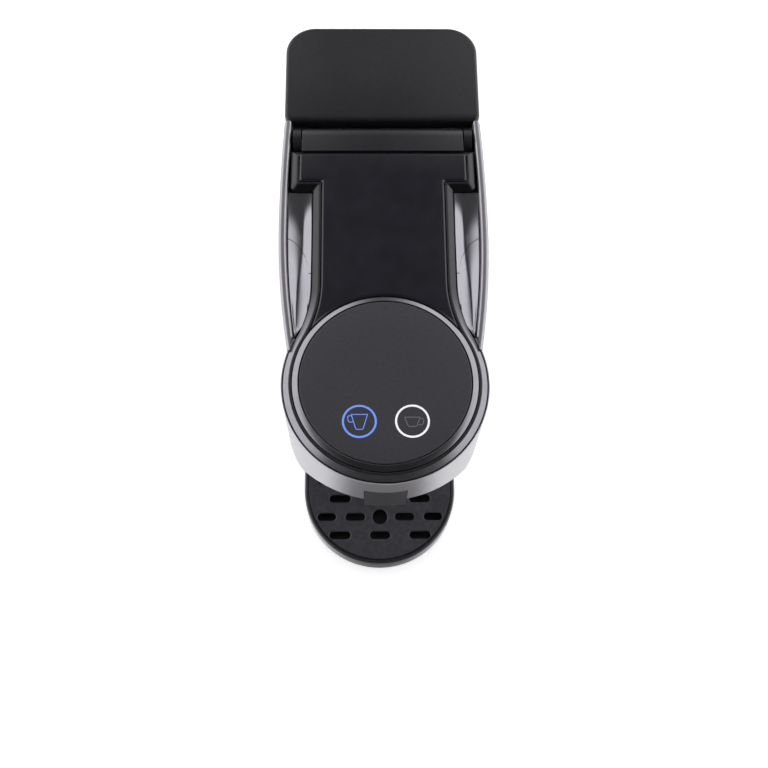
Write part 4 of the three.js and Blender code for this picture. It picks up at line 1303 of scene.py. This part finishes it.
def shell_profile():
    """Section of the black tray: foot, outer wall, round rim, grid seat and pan."""
    foot = tray_low[2]
    rim = arc(0.6 + 1.0, tray_high[2] - 1.0, 1.0, np.pi, 0, 11)
    return np.vstack([
        [(2.9, foot + 3.7), (2.9, foot), (1.2, foot), (0.7, foot + 0.5)], rim,
        [(2.6, grid_seat), (4.3, grid_seat), (4.3, pan_floor + 1), (5.3, pan_floor)],
    ])


shelf_half, shelf_bottom = 33.5, 6.3
shelf_plan = rounded_box(-shelf_half, shelf_half, tray_back - 2, tray_high[1], 2.0)
shelf = plate(shelf_plan, shelf_bottom, pan_floor, 0.3)
piece("tray_moulding", together(carried(tray_outline, shell_profile()), shelf), "black_plastic",
      "tray", "drip_tray", sharp=30)
skirt_top = tray_high[2] - 1.9
skirt = [(0.62, 3.0), (0.3, 2.8), (0.0, 3.1), (0.0, skirt_top - 0.4), (0.12, skirt_top - 0.1),
         (0.4, skirt_top), (0.62, skirt_top - 0.05)]
piece("tray_skirt", carried(tray_outline, skirt, closed=True), "silver_lacquer", "tray", sharp=30)

# %% [markdown]
# The grid is a flat plate full of slots with rounded lips. Cutting each slot with
# a boolean is slow and leaves thin faces at the lips. A flat curve with holes fills
# and bevels the same plate in one go, and it is then turned into a mesh.

# %% Slotted grid
grid_low, grid_high = box("drip_grid")
slot_width, row_step, drain_radius = 5.0, 12.5, 5.0
front_row = tray_y - 31.4


def stadium(x, y, length, width):
    """A slot's outline: two half circles and the straight sides between them."""
    end = width / 2
    return np.vstack([arc(x + length / 2 - end, y, end, -np.pi / 2, np.pi / 2, 9),
                      arc(x - length / 2 + end, y, end, np.pi / 2, 1.5 * np.pi, 9)])


def slot_rows():
    """Rows of three and four slots in turn, and the drain hole in the second row."""
    three = [(0, 13.6), (26.6, 14.2), (-26.6, 14.2)]
    four = [(16.4, 13.2), (-16.4, 13.2), (35.4, 12.4), (-35.4, 12.4)]
    slots = [stadium(x, front_row + i * row_step, length, slot_width)
             for i in range(6) for x, length in (three, four)[i % 2]]
    return slots + [arc(0, front_row + row_step, drain_radius, 0, 1.95 * np.pi, 40)]


def pierced_plate(name, outline, holes, low, high, lip):
    """A flat curve filled between outline and holes, given depth and a round lip."""
    curve = bpy.data.curves.new(name, "CURVE")
    curve.dimensions = "2D"
    curve.fill_mode = "BOTH"
    curve.extrude = ((high - low) / 2 - lip) * mm
    curve.bevel_depth = lip * mm
    curve.bevel_resolution = 3
    curve.offset = -lip * mm
    for loop in [outline, *holes]:
        spline = curve.splines.new("POLY")
        spline.points.add(len(loop) - 1)
        flat = np.column_stack([loop * mm, np.zeros(len(loop)), np.ones(len(loop))])
        spline.points.foreach_set("co", flat.astype(np.float32).ravel())
        spline.use_cyclic_u = True
    holder = bpy.data.objects.new(name, curve)
    bpy.context.scene.collection.objects.link(holder)
    bpy.context.view_layer.update()
    filled = holder.evaluated_get(bpy.context.evaluated_depsgraph_get())
    made = bpy.data.meshes.new_from_object(filled)
    points = np.zeros(len(made.vertices) * 3, np.float32)
    made.vertices.foreach_get("co", points)
    points = points.reshape(-1, 3) / mm + (0, 0, (low + high) / 2)
    faces = [list(p.vertices) for p in made.polygons]
    bpy.data.objects.remove(holder)
    bpy.data.curves.remove(curve)
    bpy.data.meshes.remove(made)
    return points, faces


slotted = pierced_plate("grid_curve", tray_outline(2.9), slot_rows(), grid_low[2], grid_high[2], 0.78)
piece("grid_plate", slotted, "grid_satin", "grid", "drip_grid", sharp=40)

# %% [markdown]
# ## Bin for used capsules
# The bin stands behind the tray, in the column's front, and slides out with it. It
# is a thin box whose wall section is carried around a rounded rectangle. A shallow
# dish for the thumb is pressed into its front: an ellipsoid taken out of the wall.


# %% Bin
bin_low, bin_high = box("pod_bin")
bin_bottom, bin_top = bin_low[2], bin_high[2]
bin_outline = rounded_box(bin_low[0], bin_high[0], bin_low[1], bin_high[1], 2.5)
bin_profile = [(1.0, bin_bottom), (0.3, bin_bottom + 0.3), (0.0, bin_bottom + 1.0),
               (0.0, bin_top - 0.6), (0.3, bin_top), (1.5, bin_top), (1.8, bin_top - 0.5),
               (1.8, bin_bottom + 3), (3.0, bin_bottom + 1.8)]


def dish(x, y, z, reach_x, reach_y, reach_z, steps=24):
    """An ellipsoid: centre + reach times the cosines and sines of two angles."""
    up = np.linspace(-np.pi / 2, np.pi / 2, steps)[:, None]
    around = np.linspace(0, 2 * np.pi, 2 * steps, endpoint=False)[None, :]
    points = np.stack([
        x + reach_x * np.cos(up) * np.cos(around), y + reach_y * np.cos(up) * np.sin(around),
        z + reach_z * np.sin(up) + 0 * around,
    ], axis=-1)
    return sheet(points, wrap_columns=True, caps=True)


grip = dish(0, bin_low[1] - 0.6, bin_top - 16, 15, 1.9, 9)
piece("capsule_bin", carried(bin_outline, bin_profile), "black_plastic", "tray", "pod_bin",
      holes=[grip], sharp=14)

# %% [markdown]
# ## Tank
# The tank is smoky clear plastic, and the valve inside it shows through. A solid
# block would bend light like a lens, so the shell gets its real wall: one section,
# outside and inside, carried around an outline that is nearly square at the column
# and round at the back. Two lugs at its rim hold the lid's pin.

# %% Tank
tank_low, tank_high = box("water_tank")
lid_low, lid_high = box("tank_lid")
tank_floor, lid_rim, lid_top = tank_low[2], lid_low[2], lid_high[2]
tank_outline = rounded_box(tank_low[0], tank_high[0], tank_low[1], tank_high[1], 4.0, 16.0, steps=14)
tank_rim = lid_rim - gap
tank_profile = [(2.4, tank_floor), (1.2, tank_floor + 0.25), (0.4, tank_floor + 0.9),
                (0.0, tank_floor + 2.2), (0.0, tank_rim - 0.5), (0.25, tank_rim),
                (1.9, tank_rim), (2.2, tank_rim - 0.5), (2.2, tank_floor + 5.0),
                (2.9, tank_floor + 3.2), (4.5, tank_floor + 2.2)]
lug_places, lug_radius, lug_half = (-32.0, 32.0), 2.6, 2.0
well_past = 60.0        # a cutter across the machine ends here, outside it


def lug_outline(inset):
    """Side view of a lug at the rear rim: a round top about the lid's pin, on a square foot."""
    radius, rim = lug_radius - inset, tank_rim - inset
    front, low, rear = lid_hinge_y - lug_radius + inset, tank_rim - 6 + inset, tank_high[1] - 0.4 - inset
    crown = arc(lid_hinge_y, lid_hinge_z, radius, 0, np.pi, 14)
    foot = [(front, low), (rear, low), (rear, rim), (lid_hinge_y + lug_radius - inset, rim)]
    return np.vstack([crown, foot])


lugs = [along("x", plate(lug_outline, x - lug_half, x + lug_half, 0.25)) for x in lug_places]
relief = rod("x", 6.3, -well_past, well_past, lid_hinge_y, lid_hinge_z, sheer)
pin_hole = rod("x", 1.6, -well_past, well_past, lid_hinge_y, lid_hinge_z, sheer, 24)
valve_y = round_place("tank_valve")[1]
valve_hole = rod("z", 5.0, tank_floor - 3, tank_floor + 8, 0, valve_y, sheer)
piece("tank_shell", carried(tank_outline, tank_profile), "smoke_tank", "tank", "water_tank",
      holes=[relief, valve_hole], sharp=30)
piece("tank_lugs", together(*lugs), "smoke_tank", "tank", holes=[pin_hole], sharp=30)

# %% [markdown]
# ## Lid
# A shallow cap on the tank's own outline, so the two meet flush. It turns on a pin
# through the lugs, and needs room for them: two boxes are taken out of its rear
# edge, and three knuckles stand between them on the pin's line.

# %% Lid
lid_profile = [(2.5, lid_top - 2.5), (2.5, lid_rim + 0.3), (2.2, lid_rim), (0.3, lid_rim),
               (0.0, lid_rim + 0.3), (0.0, lid_top - 1.6), (0.12, lid_top - 1.0),
               (0.5, lid_top - 0.45), (1.1, lid_top - 0.1), (1.8, lid_top)]
room_half, room_above = lug_half + 0.4, 3.6
room_plans = [rounded_box(x - room_half, x + room_half, lid_hinge_y - room_above, tank_high[1] + 3, 0.3)
              for x in lug_places]
lug_rooms = [plate(plan, lid_rim - 2, lid_hinge_z + room_above, sheer) for plan in room_plans]
knuckle_spans = ((-29.5, 29.5), (-40, -34.5), (34.5, 40))
knuckles = [rod("x", 2.8, *span, lid_hinge_y, lid_hinge_z) for span in knuckle_spans]
piece("lid_cover", carried(tank_outline, lid_profile), "black_plastic", "lid", "tank_lid",
      holes=lug_rooms, sharp=30)
piece("lid_knuckles", together(*knuckles), "black_plastic", "lid", holes=[pin_hole], sharp=30)

# %% [markdown]
# ## Feet and screws
# Feet are rubber pads with a groove, and screws have a cross recess. Both are turned
# parts, so a profile swept about an axis makes them, and two thin boxes press the
# cross. Each sits where its CAD node is, so one function serves all four.


# %% Feet and screws
def foot_shape(node):
    """Profile of a pad turned about its axis, with a ring groove in its underside."""
    x, y, radius, _, high = round_place(node)
    profile = [(0.01, 0), (radius * 0.55, 0), (radius * 0.6, 0.35), (radius * 0.72, 0.35),
               (radius * 0.77, 0), (radius - 0.5, 0), (radius, 0.5), (radius, high - 0.3),
               (radius - 0.3, high), (0.01, high)]
    return turned(x, y, profile, 48)


def screw_shape(node, long_half=1.7, short_half=0.4, deep=1.1):
    """Turned shank, and the two crossed bars that are taken out of its head."""
    x, y, radius, low, high = round_place(node)
    profile = [(0.01, low), (radius - 0.8, low), (radius, low + 0.5), (radius, high - 0.2),
               (radius - 0.2, high), (0.01, high)]
    bars = [plate(rounded_box(x - a, x + a, y - b, y + b, 0.2), low - 1, low + deep, sheer)
            for a, b in ((long_half, short_half), (short_half, long_half))]
    return turned(x, y, profile, 40), bars


for number in range(1, 5):
    piece(f"foot_pad_{number}", foot_shape(f"foot_{number}"), "foot_rubber", "housing", f"foot_{number}")
    shank, bars = screw_shape(f"base_screw_{number}")
    piece(f"cross_screw_{number}", shank, "bright_steel", "housing", f"base_screw_{number}", holes=bars)

# %% [markdown]
# ## Inside and structure
# The remaining parts are hidden, or plain enough to keep the exact CAD shape. Making
# them anew would only risk a misfit. Their loose triangles are merged and their edges
# eased, so that light runs along each edge as it does on a moulding. Each gets the
# finish that such a part has, and the width of its eased edge in millimetres.

# %% Inner parts
inner_parts = {
    "column_shell": ("black_plastic", 0.5), "base_plate": ("inner_plastic", 0.4),
    "tank_dock": ("black_plastic", 0.4), "dock_seal": ("foot_rubber", 0.3),
    "cord_gland": ("foot_rubber", 0.4), "brew_frame": ("inner_plastic", 0.3),
    "injector": ("injector_brass", 0.4), "brew_cage": ("bright_steel", 0.3),
    "coffee_funnel": ("inner_plastic", 0.3), "pump_foot": ("foot_rubber", 0.4),
    "pump": ("inner_plastic", 0.5), "pump_collar": ("foot_rubber", 0.4),
    "heater": ("heater_alloy", 0.8), "flow_meter": ("hose_silicone", 0.4),
    "control_board": ("board_green", 0.1), "bay_divider": ("inner_plastic", 0.2),
    "hose_inlet": ("hose_silicone", 0.1), "hose_suction": ("hose_silicone", 0.1),
    "hose_pressure": ("hose_silicone", 0.1), "hose_hot": ("hose_silicone", 0.1),
    "lever_pin": ("bright_steel", 0.3), "lid_pin": ("bright_steel", 0.2),
    "touch_board": ("board_green", 0.2), "tank_valve": ("inner_plastic", 0.2),
    "valve_plunger": ("bright_steel", 0.2),
}
for node, (finish_name, edge) in inner_parts.items():
    refined(node, finish_name, edge)
print(len(inner_parts), "inner parts refined")
